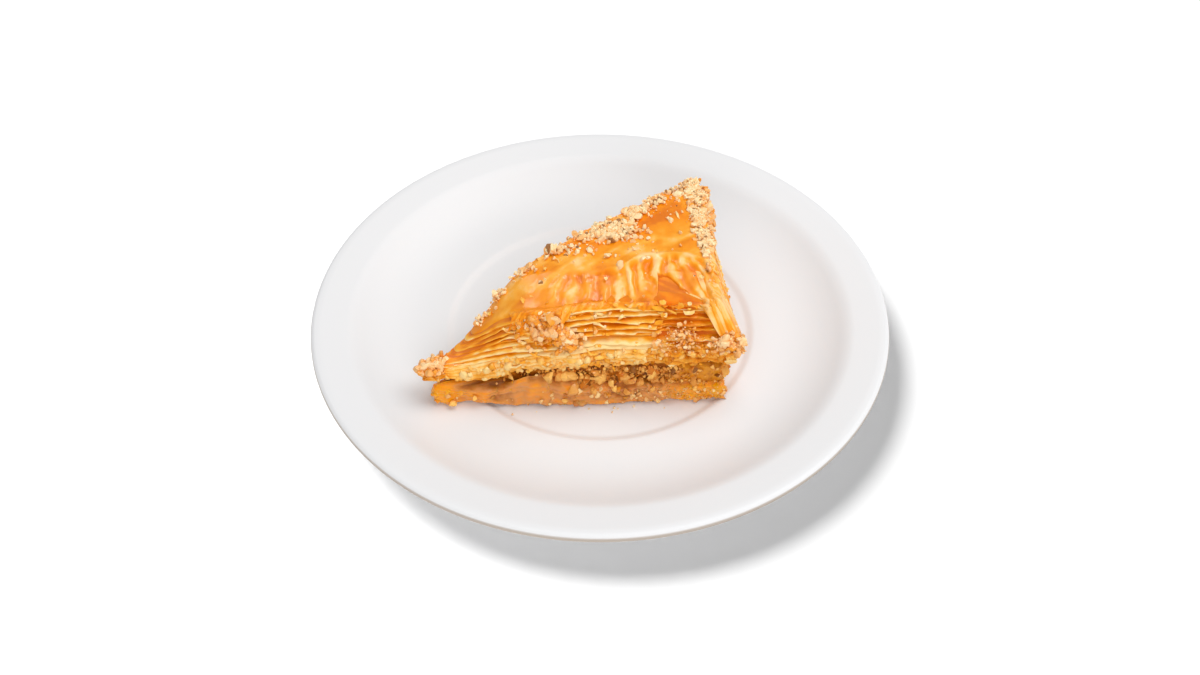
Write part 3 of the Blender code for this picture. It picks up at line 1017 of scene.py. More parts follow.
@dataclass
class Crumbs:
    """Makes many chopped lumps at once as one surface."""

    rng: np.random.Generator
    facets: int = 6

    def ball(self, large: bool) -> tuple[Array, Array]:
        """A ball of radius 1.

        Args:
            large: Whether it has 48 faces, or 20.

        Returns:
            Its points and its triangles.
        """
        ball = bmesh.new()
        if large:
            bmesh.ops.create_uvsphere(ball, u_segments=6, v_segments=5, radius=1.0)
            bmesh.ops.triangulate(ball, faces=ball.faces[:])
        else:
            bmesh.ops.create_icosphere(ball, subdivisions=1, radius=1.0)
        points = np.array([vert.co[:] for vert in ball.verts])
        faces = np.array([[vert.index for vert in face.verts] for face in ball.faces])
        ball.free()
        return points, faces

    def lumps(
        self, centres: Array, radii: Array, large: bool, tone: Array, husk: Array, ceiling: float = math.inf
    ) -> Skin:
        """Chopped lumps: balls pressed flat on random sides, stretched, and turned at random.

        Each ball's points are pulled back to random cutting planes, scaled unevenly along three
        axes, dented by noise and turned by a random rotation. Undersides are more tan: partly syrup
        soaked up from below, partly painted shade.

        Args:
            centres: Where the lumps lie.
            radii: Their greatest radii.
            large: Large lumps have 48 faces each, small ones 20.
            tone: From pale flesh to tan, for each lump.
            husk: How much of each lump still has its skin.
            ceiling: A lump whose top would be higher than this is let down to it.

        Returns:
            All the lumps as one surface.
        """
        corners, faces = self.ball(large)
        count = len(centres)
        shape = np.broadcast_to(corners, (count, *corners.shape)).copy()
        for _ in range(self.facets):
            plane = unit(self.rng.normal(size=(count, 1, 3)))
            depth = self.rng.uniform(0.3, 0.85, (count, 1))
            shape -= np.maximum(np.sum(shape * plane, axis=-1) - depth, 0.0)[..., None] * plane
        shape *= 1.08 + 0.2 * self.rng.uniform(-1.0, 1.0, shape.shape[:2])[..., None]
        skin_side = np.sum(corners * unit(self.rng.normal(size=(count, 1, 3))), axis=-1)
        shape *= self.rng.uniform([0.75, 0.55, 0.45], [1.0, 0.9, 0.8], (count, 3))[:, None]
        shape = np.einsum("nij,nvj->nvi", self.turns(count), shape)
        points = centres[:, None] + shape * radii[:, None, None]
        points[..., 2] -= np.maximum(points[..., 2].max(axis=1, keepdims=True) - ceiling, 0.0)
        index = faces[None] + len(corners) * np.arange(count)[:, None, None]
        # Partly syrup, partly painted shade: the tone turns tan on each lump's underside.
        wet = self.rng.uniform(-0.1, 0.1, shape.shape[:2]) - 0.7 * np.minimum(shape[..., 2] + 0.1, 0.0)
        values = {
            "tone": np.clip(tone[:, None] + wet, 0.0, 1.0),
            "husk": np.clip(husk[:, None] + 0.5 * (skin_side - 0.4), 0.0, 1.0),
        }
        return Skin(points.reshape(-1, 3), index.reshape(-1, 3), values)

    def clumps(
        self, skin: Skin, count: int, sizes: tuple, stand: float, bakes: tuple, from_x: float
    ) -> Skin:
        """Soft clumps of the same pastry, half sunk in the sides of a surface.

        Args:
            skin: The surface they have crumbled out of.
            count: How many.
            sizes: The least and greatest radius.
            stand: How far the middles stand out, as a share of the radius.
            bakes: The least and greatest bake.
            from_x: They are sparse to the left of this place along X.

        Returns:
            All the clumps as one surface, with their bake.
        """
        middles, normals, _ = skin.triangles()
        crowd = 0.25 + smooth(from_x - 8.0, from_x + 8.0, middles[:, 0])
        places, outward = strewn(skin, (np.abs(normals[:, 2]) < 0.75) * crowd + 1e-9, count, self.rng)
        radii = sizes[0] + (sizes[1] - sizes[0]) * self.rng.beta(1.2, 2.6, count)
        centres = places + outward * (stand * radii)[:, None]
        bake = self.rng.uniform(*bakes, count)
        lumps = self.lumps(centres, radii, True, bake, bake)
        return Skin(lumps.points, lumps.faces, {"bake": np.repeat(bake, len(lumps.points) // count)})

    def turns(self, count: int) -> Array:
        """Random rotation matrices, from random unit quaternions.

        Args:
            count: How many.

        Returns:
            The matrices, count × 3 × 3.
        """
        w, x, y, z = unit(self.rng.normal(size=(count, 4))).T
        rows = [
            [1 - 2 * (y * y + z * z), 2 * (x * y - w * z), 2 * (x * z + w * y)],
            [2 * (x * y + w * z), 1 - 2 * (x * x + z * z), 2 * (y * z - w * x)],
            [2 * (x * z - w * y), 2 * (y * z + w * x), 1 - 2 * (x * x + y * y)],
        ]
        return np.moveaxis(np.array(rows), -1, 0)


@dataclass
class SoakedLeaves:
    """The lower leaves, sunk together into one pale, wet, crumbling mass."""

    form: SliceForm
    finish: BakedLeaf = BakedLeaf(
        name="soaked phyllo",
        stops=((0.0, "FFDA90"), (0.3, "FFBE54"), (0.55, "F4A42C"), (0.8, "E68A10"), (1.0, "C46A00")),
        mottle_mm=1.4,
        mottle=0.32,
        roughness=0.42,
        coat=0.4,
        coat_roughness=0.2,
        relief_mm=0.2,
    )
    top_share: float = 0.33
    layers: int = 4
    rows: int = 60
    clumps: int = 460
    clump_radii: tuple = (0.6, 2.2)
    clump_bakes: tuple = (-0.1, 0.6)
    sag_x: float = -33.0
    sag_width: float = 9.0
    sag_depth: float = 1.8

    def surface(self) -> Skin:
        """Rings from the nuts up, pushed in at the creases between leaves and roughened by noise.

        The push is the root of a sine over each leaf's height, plus three sizes of noise for the
        crumbling face; the lowest part is set back over the nuts, and dips to the bottom pastry at
        the tip. Along the left front its edge sags and stands out over the dark gap.

        Returns:
            The surface, with its bake.
        """
        form = self.form
        share = np.linspace(0.0, self.top_share, self.rows)
        points, facing = form.leaf_rings(share)
        x, y = np.moveaxis(points, -1, 0)
        level = np.broadcast_to(share[:, None] / self.top_share, x.shape)
        sag = bell(x, self.sag_x, self.sag_width) * frontal(facing) * (1.0 - level)
        dip = 1.9 * (1.0 - level) * smooth(-41.5, -45.5, x) + self.sag_depth * sag
        z = form.leaf_height(x, y, share[:, None]) - dip
        spot = raised(points, z)
        full = form.fullness(x, y)
        layer = level * self.layers + 0.7 * noise(raised(points, 2.0), 9.0, 121)
        crease = np.abs(np.sin(math.pi * layer)) ** 0.5
        low_edge = 0.2 + 0.16 * noise(raised(points, 1.0), 5.0, 127)
        push = 0.45 * crease - 0.45 - 1.3 * (1.0 - smooth(low_edge - 0.15, low_edge, level)) * (1.0 - sag)
        push += rough(spot, (0.85, 2.8, 122), (0.5, 1.3, 123), (0.18, 0.6, 124))
        push -= 0.3 * smooth(0.9, 1.0, level)
        push *= (0.3 + 0.7 * full) * (1.0 + 0.4 * smooth(10.0, 20.0, x))
        push += sag * (0.8 + rough(spot, (0.6, 2.2, 128), (0.35, 0.9, 129)))
        plan = points + facing * np.maximum(push, -1.9)[..., None]
        # Painted shade: the bake deepens in the creases between the leaves.
        bake = 0.24 + 0.4 * smooth(12.0, 24.0, x) + 0.4 * (1.0 - crease) + 0.4 * noise(spot, 3.0, 126)
        bake += 0.25 * smooth(-38.0, -44.0, x)
        return loft(raised(plan, z + 0.25 * noise(spot, 1.5, 125) * full), {"bake": bake})

    def build(self) -> list[bpy.types.Object]:
        """Makes the mass, and the soft clumps that have crumbled out of its face.

        Returns:
            The pieces.
        """
        skin = self.surface()
        crumbs = Crumbs(np.random.default_rng(41))
        clumps = crumbs.clumps(skin, self.clumps, self.clump_radii, 0.0, self.clump_bakes, -40.0)
        clumps.values["bake"] += 0.35 * smooth(8.0, 22.0, clumps.points[:, 0])
        finish = self.finish.build()
        return [
            skin.piece("soaked_leaves", finish, Slot.SOAKED, Node.TOP),
            clumps.piece("soaked_clumps", finish, Slot.SOAKED, Node.TOP),
        ]


@dataclass
class TopSheet:
    """The glazed uppermost sheets: smooth at the left, a ledge across, and folds hanging from it.

    "pools" lists where syrup has pooled: the middle, the half widths and the extra bake.
    """

    form: SliceForm
    glazed: BakedLeaf = BakedLeaf(
        name="glazed phyllo",
        stops=((0.0, "FFCE86"), (0.25, "FEB038"), (0.5, "F8990A"), (0.75, "F28B00"), (1.0, "E67800")),
        mottle_mm=2.4,
        mottle=0.26,
        roughness=0.4,
        coat=0.4,
        coat_roughness=0.27,
        relief_mm=0.06,
    )
    overhang: float = 0.6
    thickness: float = 0.45
    rows: int = 90
    under_steps: tuple = (3.0, 1.2, 0.4)
    ledge_x: tuple = (-12.0, -2.0, 6.6, 9.8, 16.0, 21.7, 30.0)
    ledge_y: tuple = (-12.5, -11.5, -9.4, -6.8, -6.0, -6.1, -8.5)
    ledge_drop: float = 0.9
    fold_pitch: float = 3.7
    fold_depth: float = 1.45
    torn_drop: float = 1.3
    grain: tuple = (0.806, 0.592)
    pools: tuple = (
        ((15.0, 8.0), (8.0, 6.0), 0.5),
        ((22.0, 14.0), (4.0, 6.0), 0.45),
        ((19.0, -2.0), (6.0, 2.6), 0.3),
        ((1.5, -10.5), (2.2, 1.6), 0.5),
        ((-2.0, -20.0), (9.0, 1.8), 0.45),
        ((11.0, -19.0), (3.0, 2.0), 0.4),
        ((-16.0, -22.5), (6.0, 2.4), 0.5),
        ((5.0, -8.0), (4.0, 2.0), 0.2),
        ((-24.0, -17.5), (7.0, 2.0), 0.5),
        ((-6.0, -13.0), (3.0, 1.6), 0.3),
        ((-8.0, -3.0), (8.0, 2.0), 0.2),
    )

    def torn(self, x: Array, y: Array) -> Array:
        """Where the sheet has broken off at the front right: below a slanting ragged line.

        Args:
            x: Plan positions along X.
            y: Plan positions along Y.

        Returns:
            1 where it is gone, 0 where it lies.
        """
        spot = at_height(x, y, 6.0)
        right = smooth(15.2, 15.8, x + 0.5 * noise(spot, 2.5, 48))
        line = -10.8 - 0.8 * (x - 15.9) + rough(spot, (2.0, 3.2, 47), (0.4, 1.0, 49))
        return right * (1.0 - smooth(-0.25, 0.25, y - line))

    def relief(self, x: Array, y: Array) -> tuple[Array, Array]:
        """Height of the ledge, folds and wrinkles over the plain sheet, and its share of bake.

        Behind the ledge line the sheet stands higher. In front, ridges a fold pitch apart run down
        to the front edge: a raised cosine of the distance across them, bent by noise, leaning more
        towards the right. Where the sheet has broken off, the smooth sheet below shows.

        Args:
            x: Plan positions along X.
            y: Plan positions along Y.

        Returns:
            Heights in millimetres, and how much the bake deepens: painted shade in the fold valleys
            and low crinkles, painted highlight on the ridges, crinkle crests and the ledge's lip, and
            deeper where it is torn and along the streaks.
        """
        spot = at_height(x, y, 5.0)
        line = np.interp(x, self.ledge_x, self.ledge_y) + 0.8 * noise(spot, 4.5, 41)
        below = 1.0 - smooth(-1.0, 0.8, y - line)
        across = plateau(x, (-4.0, 5.0), (27.0, 33.0))
        weak = 0.55 * smooth(-17.0, -8.0, x) * (1.0 - across)
        bent = x + (0.14 + 0.017 * (x - 8.0)) * (y - line) + rough(spot, (1.3, 5.5, 42), (0.5, 2.2, 43))
        which = np.round(bent / self.fold_pitch)
        tall, long = (
            hashed(at_height(which, 0.0 * which + row, 0.0).astype(np.int64), seed)
            for row, seed in ((0.0, 50), (7.0, 51))
        )
        short = 1.0 - smooth(-2.5, 1.0, line - y - 11.5 - 3.5 * long) * (0.75 - 0.5 * across)
        ridge = (0.5 + 0.5 * np.cos(2.0 * math.pi * bent / self.fold_pitch)) ** 0.9
        ridge = ridge * (0.75 + 0.3 * tall) * short
        hang = smooth(-25.5, -20.0, y) * (0.85 + 0.5 * noise(spot, 6.0, 44))
        torn = self.torn(x, y)
        folds = np.clip((across + weak) * below * hang, 0.0, 1.2) * (1.0 - torn)
        crinkle = 0.22 * noise(spot, 4.0, 45) - 0.5 * np.abs(noise(spot, 3.1, 52))
        crinkle += 0.2 - 0.16 * np.abs(noise(spot, 1.4, 46))
        crinkle *= 0.35 + 0.65 * below * smooth(-16.0, -4.0, x)
        streaks = self.streaks(x, y)
        lip = bell(y, line + 0.3, 0.9) * across
        height = 0.35 * ripple(x, y, 17.0, 5) - self.ledge_drop * across * below + 0.3 * lip
        height += folds * self.fold_depth * (ridge - 0.5) - self.torn_drop * torn
        height += (crinkle + 0.08 * streaks * (1.0 - across * below)) * (1.0 - 0.6 * torn)
        # Painted shade and highlight: the bake deepens in the fold valleys and pales on the ridges and on
        # the ledge's lip.
        deeper = folds * (0.36 - 0.84 * smooth(0.15, 0.75, ridge)) + 1.1 * torn + 0.24 * streaks - 0.3 * lip
        # Painted highlight and shade: raised crinkles are paler, sunken ones deeper.
        return height, deeper - 0.6 * crinkle * (1.0 - torn)

    def streaks(self, x: Array, y: Array) -> Array:
        """Noise drawn out along the back edge, the way the leaves were brushed and cut.

        Args:
            x: Plan positions along X.
            y: Plan positions along Y.

        Returns:
            The streaks' strength, about -1 to 1.
        """
        along, across = x * self.grain[0] + y * self.grain[1], y * self.grain[0] - x * self.grain[1]
        broad, fine = (
            noise(at_height(along / length, across / width, 0.0), 1.0, seed)
            for length, width, seed in ((10.0, 2.4, 53), (4.0, 0.9, 54))
        )
        return broad + 0.4 * fine

    def tone(self, x: Array, y: Array) -> Array:
        """The sheet's bake: deeper in the fold valleys and paler on the ridges as painted shade and
        highlight, and deeper in pools of syrup and in soft patches.

        Args:
            x: Plan positions along X.
            y: Plan positions along Y.

        Returns:
            The bake at each position.
        """
        _, deeper = self.relief(x, y)
        return 0.38 + deeper + spots(x, y, self.pools) + 0.36 * fractal(at_height(x, y, 9.0), 5.0, 71)

    def surface(self) -> Skin:
        """The sheet as one closed leaf: under the edge, round it, then over the whole top.

        Rows run from the torn edge to the middle of the slice, closer together near the edge, which
        curls down over the last five millimetres.

        Returns:
            The surface, with its bake.
        """
        form = self.form
        points, facing = form.leaf_outline(1.0)
        rolled = plateau(points[:, 0], (-36.0, -27.0), (-7.0, 1.0)) * frontal(facing)
        flat = np.where(facing[:, 1] > 0.3, 0.5, 1.0) * form.fullness(*points.T)
        ragged = rough(raised(points, 3.0), (0.5, 7.0, 61), (0.35, 2.6, 62), (0.15, 0.9, 63))
        edge = points + facing * ((self.overhang + ragged + 1.2 * rolled) * flat)[:, None]
        middle = points.mean(axis=0)
        reach = np.linalg.norm(middle - edge, axis=1)
        under = np.minimum(np.array(self.under_steps)[:, None] / reach, 0.3)
        over = np.linspace(0.0, 0.985, self.rows)[:, None] ** 1.2
        shares = np.concatenate([under, np.broadcast_to(over, (self.rows, len(edge)))])
        plan = edge + (middle - edge) * shares[..., None]
        x, y = np.moveaxis(plan, -1, 0)
        height, _ = self.relief(x, y)
        away = shares * reach
        full = form.fullness(x, y)
        curl = (0.5 + 2.8 * rolled) * (1.0 - smooth(0.0, 5.0, away)) ** 1.3 * full
        below = np.concatenate([np.ones(len(under)), np.zeros(self.rows)])[:, None]
        rounded = 0.5 * (1.0 - np.sqrt(smooth(-0.01, 0.4, away)))
        thin = below * (0.35 + 0.65 * full) + (1.0 - below) * rounded
        z = form.leaf_height(x, y, 1.0) + height * (0.3 + 0.7 * full) - curl - self.thickness * thin
        bake = self.tone(x, y) + 0.4 * rolled * (1.0 - smooth(1.0, 5.0, away))
        bake -= 0.25 * (1.0 - smooth(0.0, 0.5, away)) * (1.0 - below)
        return loft(raised(plan, z), {"bake": bake})

    def build(self) -> bpy.types.Object:
        """Makes the sheet."""
        return self.surface().piece("top_sheet", self.glazed.build(), Slot.LEAVES, Node.TOP)


@dataclass(frozen=True)
class StripZone:
    """A stretch of the slice's edge with torn strips of leaf hanging over it, in millimetres.

    Between and widths count points of the outline. Shares says how low the strips reach, as a share
    of the stack's height, and insets where they start, from the edge. They stand out by up to
    "stand", and "deeper" is added to their bake.
    """

    name: str
    count: int
    between: tuple
    widths: tuple
    shares: tuple
    insets: tuple
    stand: float
    deeper: float


@dataclass
class HangingStrips:
    """Thin strips of leaf that have slid over the edges, down the shoulders, corner and left front.

    "levels" gives the lowest and highest share of the stack at which its outline is taken, and how
    many outlines there are.
    """

    form: SliceForm
    sheet: TopSheet
    zones: tuple = (
        StripZone("strips_right", 11, (300, 480), (34, 84), (0.5, 0.85), (2.0, 5.0), 0.9, 0.0),
        StripZone("strips_front", 9, (120, 296), (26, 60), (0.80, 0.93), (0.8, 2.4), 0.35, 0.3),
        StripZone("strips_back", 12, (505, 800), (26, 64), (0.7, 0.92), (0.8, 2.2), 0.5, 0.1),
        StripZone("strips_corner", 6, (285, 376), (52, 84), (0.3, 0.36), (2.0, 5.0), 1.0, 0.1),
        StripZone("strips_left", 7, (36, 150), (24, 56), (0.55, 0.8), (0.8, 2.4), 0.4, 0.35),
    )
    rows: int = 34
    thickness: float = 0.18
    step: float = 0.26
    levels: tuple = (0.3, 1.0, 36)

    def path(self, zone: StripZone, rng: np.random.Generator) -> Array:
        """Draws a strip's way down, from inside the sheet, over the edge and down the side.

        Args:
            zone: Where the strip hangs.
            rng: The random source.

        Returns:
            For five places along the strip, the inset from the edge, the share of the stack's
            height, and how far the strip stands out.
        """
        share = rng.uniform(*zone.shares)
        inset = rng.uniform(*zone.insets)
        out = zone.stand * rng.uniform(0.5, 1.0)
        return np.array(
            [
                (inset, 1.0, -0.25),
                (0.3 * inset, 1.0, 0.15),
                (0.0, 0.96, 0.3 * out + 0.15),
                (0.0, 0.4 + 0.6 * share - 0.02, 0.8 * out),
                (0.0, share, 0.7 * out),
            ]
        )

    def strip(self, zone: StripZone, number: int, rng: np.random.Generator) -> Skin:
        """A grid of outline points by steps along the path, doubled into a closed thin leaf.

        The lower end is cut short by noise, and ridges that run down the path lift it off the stack:
        a raised cosine of the distance along the outline, bent by noise. The upper end starts inside
        the sheet and takes its colour.

        Args:
            zone: Where the strip hangs.
            number: Its number in the zone.
            rng: The random source.

        Returns:
            The strip's surface, with its bake.
        """
        form = self.form
        width = int(rng.integers(*zone.widths))
        first = int(rng.integers(zone.between[0], zone.between[1] - width))
        path = self.path(zone, rng)
        pitch, depth = rng.uniform(1.8, 3.2), rng.uniform(0.12, 0.35)
        ragged, paler = rng.uniform(0.3, 0.7), rng.uniform(-0.1, 0.25) + zone.deeper
        along = np.arange(first, first + width)
        low_level, top_level, count = self.levels
        outlines, normals = form.leaf_rings(np.linspace(*self.levels))
        way = at_height(along * self.step, along * 0.0, number * 9.0)
        edge = np.minimum(along - first, first + width - 1 - along) * self.step
        ends = np.sqrt(smooth(-0.1, 2.5, edge))
        torn = 0.5 + rough(way, (0.6, 3.4, 140), (0.35, 1.3, 141), (0.16, 0.5, 146))
        down = np.linspace(0.0, 1.0, self.rows)[:, None] * np.clip(ends * (1.0 - ragged * torn), 0.12, 1.0)
        inset, share, out = (np.interp(down, np.linspace(0.0, 1.0, len(path)), column) for column in path.T)
        place = (share - low_level) / (top_level - low_level) * (count - 1)
        low = np.clip(place.astype(int), 0, count - 2)
        mix = (place - low)[..., None]
        spot = outlines[low, along] * (1.0 - mix) + outlines[low + 1, along] * mix
        facing = normals[low, along]
        bent = along * self.step + 1.2 * noise(way, 4.0, 142) + down * 2.0
        started = smooth(0.1, 0.4, down)
        ridge = (0.5 + 0.5 * np.cos(2.0 * math.pi * bent / pitch)) * depth * started
        sway = noise(at_height(way[:, 0] + 0.0 * down, down * 9.0, number), 2.0, 143)
        lift = out * (0.3 + 0.7 * ends) + ridge + 0.25 * sway * started
        over = smooth(0.93, 1.0, share)
        plan = spot + facing * (lift * (1.0 - 0.85 * over) - inset)[..., None]
        x, y = np.moveaxis(plan, -1, 0)
        height, _ = self.sheet.relief(x, y)
        outer = raised(plan, form.leaf_height(x, y, share) + over * (height + lift))
        inner = outer.copy()
        inner[..., :2] -= facing * self.thickness * (1.0 - over)[..., None]
        inner[..., 2] -= self.thickness * (0.3 + 0.7 * over)
        # Painted highlight and shade: the strip's bake pales on its ridges and deepens between them.
        own = paler + 0.3 * (1.0 - ridge / depth) + 0.2 * noise(outer, 2.5, 144)
        own += 0.14 * noise(at_height(bent, down * 2.5, 0.0), 1.0, 145)
        blend = smooth(0.05, 0.35, down)
        bake = (self.sheet.tone(x, y) * (1.0 - blend) + own * blend).ravel()
        points = np.concatenate([outer.reshape(-1, 3), inner.reshape(-1, 3)])
        return Skin(points, doubled_faces(*down.shape), {"bake": np.concatenate([bake, bake])})

    def build(self) -> list[bpy.types.Object]:
        """Makes the strips, each zone as one piece.

        Returns:
            The pieces.
        """
        finish = self.sheet.glazed.build()
        rng = np.random.default_rng(59)
        pieces = []
        for zone in self.zones:
            strips = joined([self.strip(zone, number, rng) for number in range(zone.count)])
            pieces.append(strips.piece(zone.name, finish, Slot.LEAVES, Node.TOP))
        return pieces


def outer_face(form: SliceForm) -> Skin:
    """The slice's plain outer face that bits can lie on, from the nuts up and over the top.

    Args:
        form: The slice's form.

    Returns:
        The surface: outlines up the sides, then the top outline drawn in towards its middle.
    """
    levels = np.linspace(0.03, 1.0, 22)
    sides, _ = form.leaf_rings(levels)
    inwards = np.linspace(0.06, 0.96, 16)[:, None, None]
    top = sides[-1] + (sides[-1].mean(axis=0) - sides[-1]) * inwards
    return loft(np.concatenate([form.leaf_points(sides, levels[:, None]), form.leaf_points(top, 1.0)]), {})


@dataclass
class LeafShards:
    """Broken bits of leaf, curled and stuck over the sides, with a few on the top."""

    form: SliceForm
    finish: BakedLeaf = BakedLeaf(name="phyllo shards", mottle=0.16)
    count: int = 620
    grid: tuple = (5, 3)
    lengths: tuple = (0.9, 3.8)
    widths: tuple = (0.5, 1.4)
    thickness: tuple = (0.12, 0.26)

    def frames(self, outward: Array, rng: np.random.Generator) -> tuple[Array, Array, Array]:
        """Turns each shard to lie along the outline, tilted out and down at random.

        Args:
            outward: The surface's normals where the shards lie.
            rng: The random source.

        Returns:
            Unit vectors along, across and up from each shard, count × 1 × 1 × 3.
        """
        level = (outward + rng.normal(0.0, 0.25, (self.count, 3))) * [1.0, 1.0, 0.0]
        level /= np.linalg.norm(level, axis=1, keepdims=True) + 1e-9
        tilt = rng.uniform(-0.1, 1.2, (self.count, 1))
        along = unit(np.stack([-level[:, 1], level[:, 0], rng.normal(0.0, 0.18, self.count)], axis=-1))
        across = level * np.cos(tilt) - np.array([0.0, 0.0, 1.0]) * np.sin(tilt)
        upright = unit(np.cross(along, across))
        return along[:, None, None], across[:, None, None], upright[:, None, None]

    def build(self) -> bpy.types.Object:
        """Makes each shard from a small grid, doubled into a thin leaf.

        It is bowed along its length by a parabola, curled across by another, narrower at its ends,
        and every point is shifted at random so that no edge is straight.

        Returns:
            All the shards as one piece.
        """
        rng = np.random.default_rng(67)
        ground = outer_face(self.form)
        middles, normals, _ = ground.triangles()
        x, y, z = middles.T
        side = 1.0 - smooth(0.35, 0.75, normals[:, 2])
        rim = smooth(0.55, 0.95, z / self.form.leaf_height(x, y, 1.0))
        places, outward = strewn(ground, side * (0.5 + 0.5 * rim) + 0.03, self.count, rng)
        along, across, upright = self.frames(outward, rng)
        u, v = np.meshgrid(*(np.linspace(-1.0, 1.0, size) for size in self.grid), indexing="ij")
        one, shape = (self.count, 1, 1), (self.count, *self.grid)
        short, long = self.lengths
        length = rng.uniform(0.0, 1.0, one) ** 2 * (long - short) + short
        width = rng.uniform(*self.widths, one)
        a = (u + rng.uniform(-0.16, 0.16, shape)) * length / 2.0
        c = (v * (1.0 - 0.45 * u**2) + rng.uniform(-0.22, 0.22, shape)) * width / 2.0
        bow, curl = rng.normal(0.0, 0.22, (2, *one))
        h = bow * length * (u**2 - 0.4) + curl * width * v**2 + rng.normal(0.0, 0.06, shape)
        centre = (places + outward * rng.uniform(-0.1, 0.5, (self.count, 1)))[:, None, None]
        sheet = centre + a[..., None] * along + c[..., None] * across + h[..., None] * upright
        half = rng.uniform(*self.thickness, (*one, 1)) / 2.0 * upright
        both = np.stack([sheet - half, sheet + half], axis=1)
        bake = rng.uniform(-0.1, 0.5, (*one, 1)) + rng.uniform(-0.1, 0.1, both.shape[:-1])
        starts = both[0, ..., 0].size * np.arange(self.count)[:, None, None]
        faces = doubled_faces(*self.grid)[:, ::-1] + starts
        skin = Skin(both.reshape(-1, 3), faces.reshape(-1, 3), {"bake": np.clip(bake, 0.0, 1.0).ravel()})
        return skin.piece("leaf_shards", self.finish.build(), Slot.LEAVES, Node.TOP, 60.0)


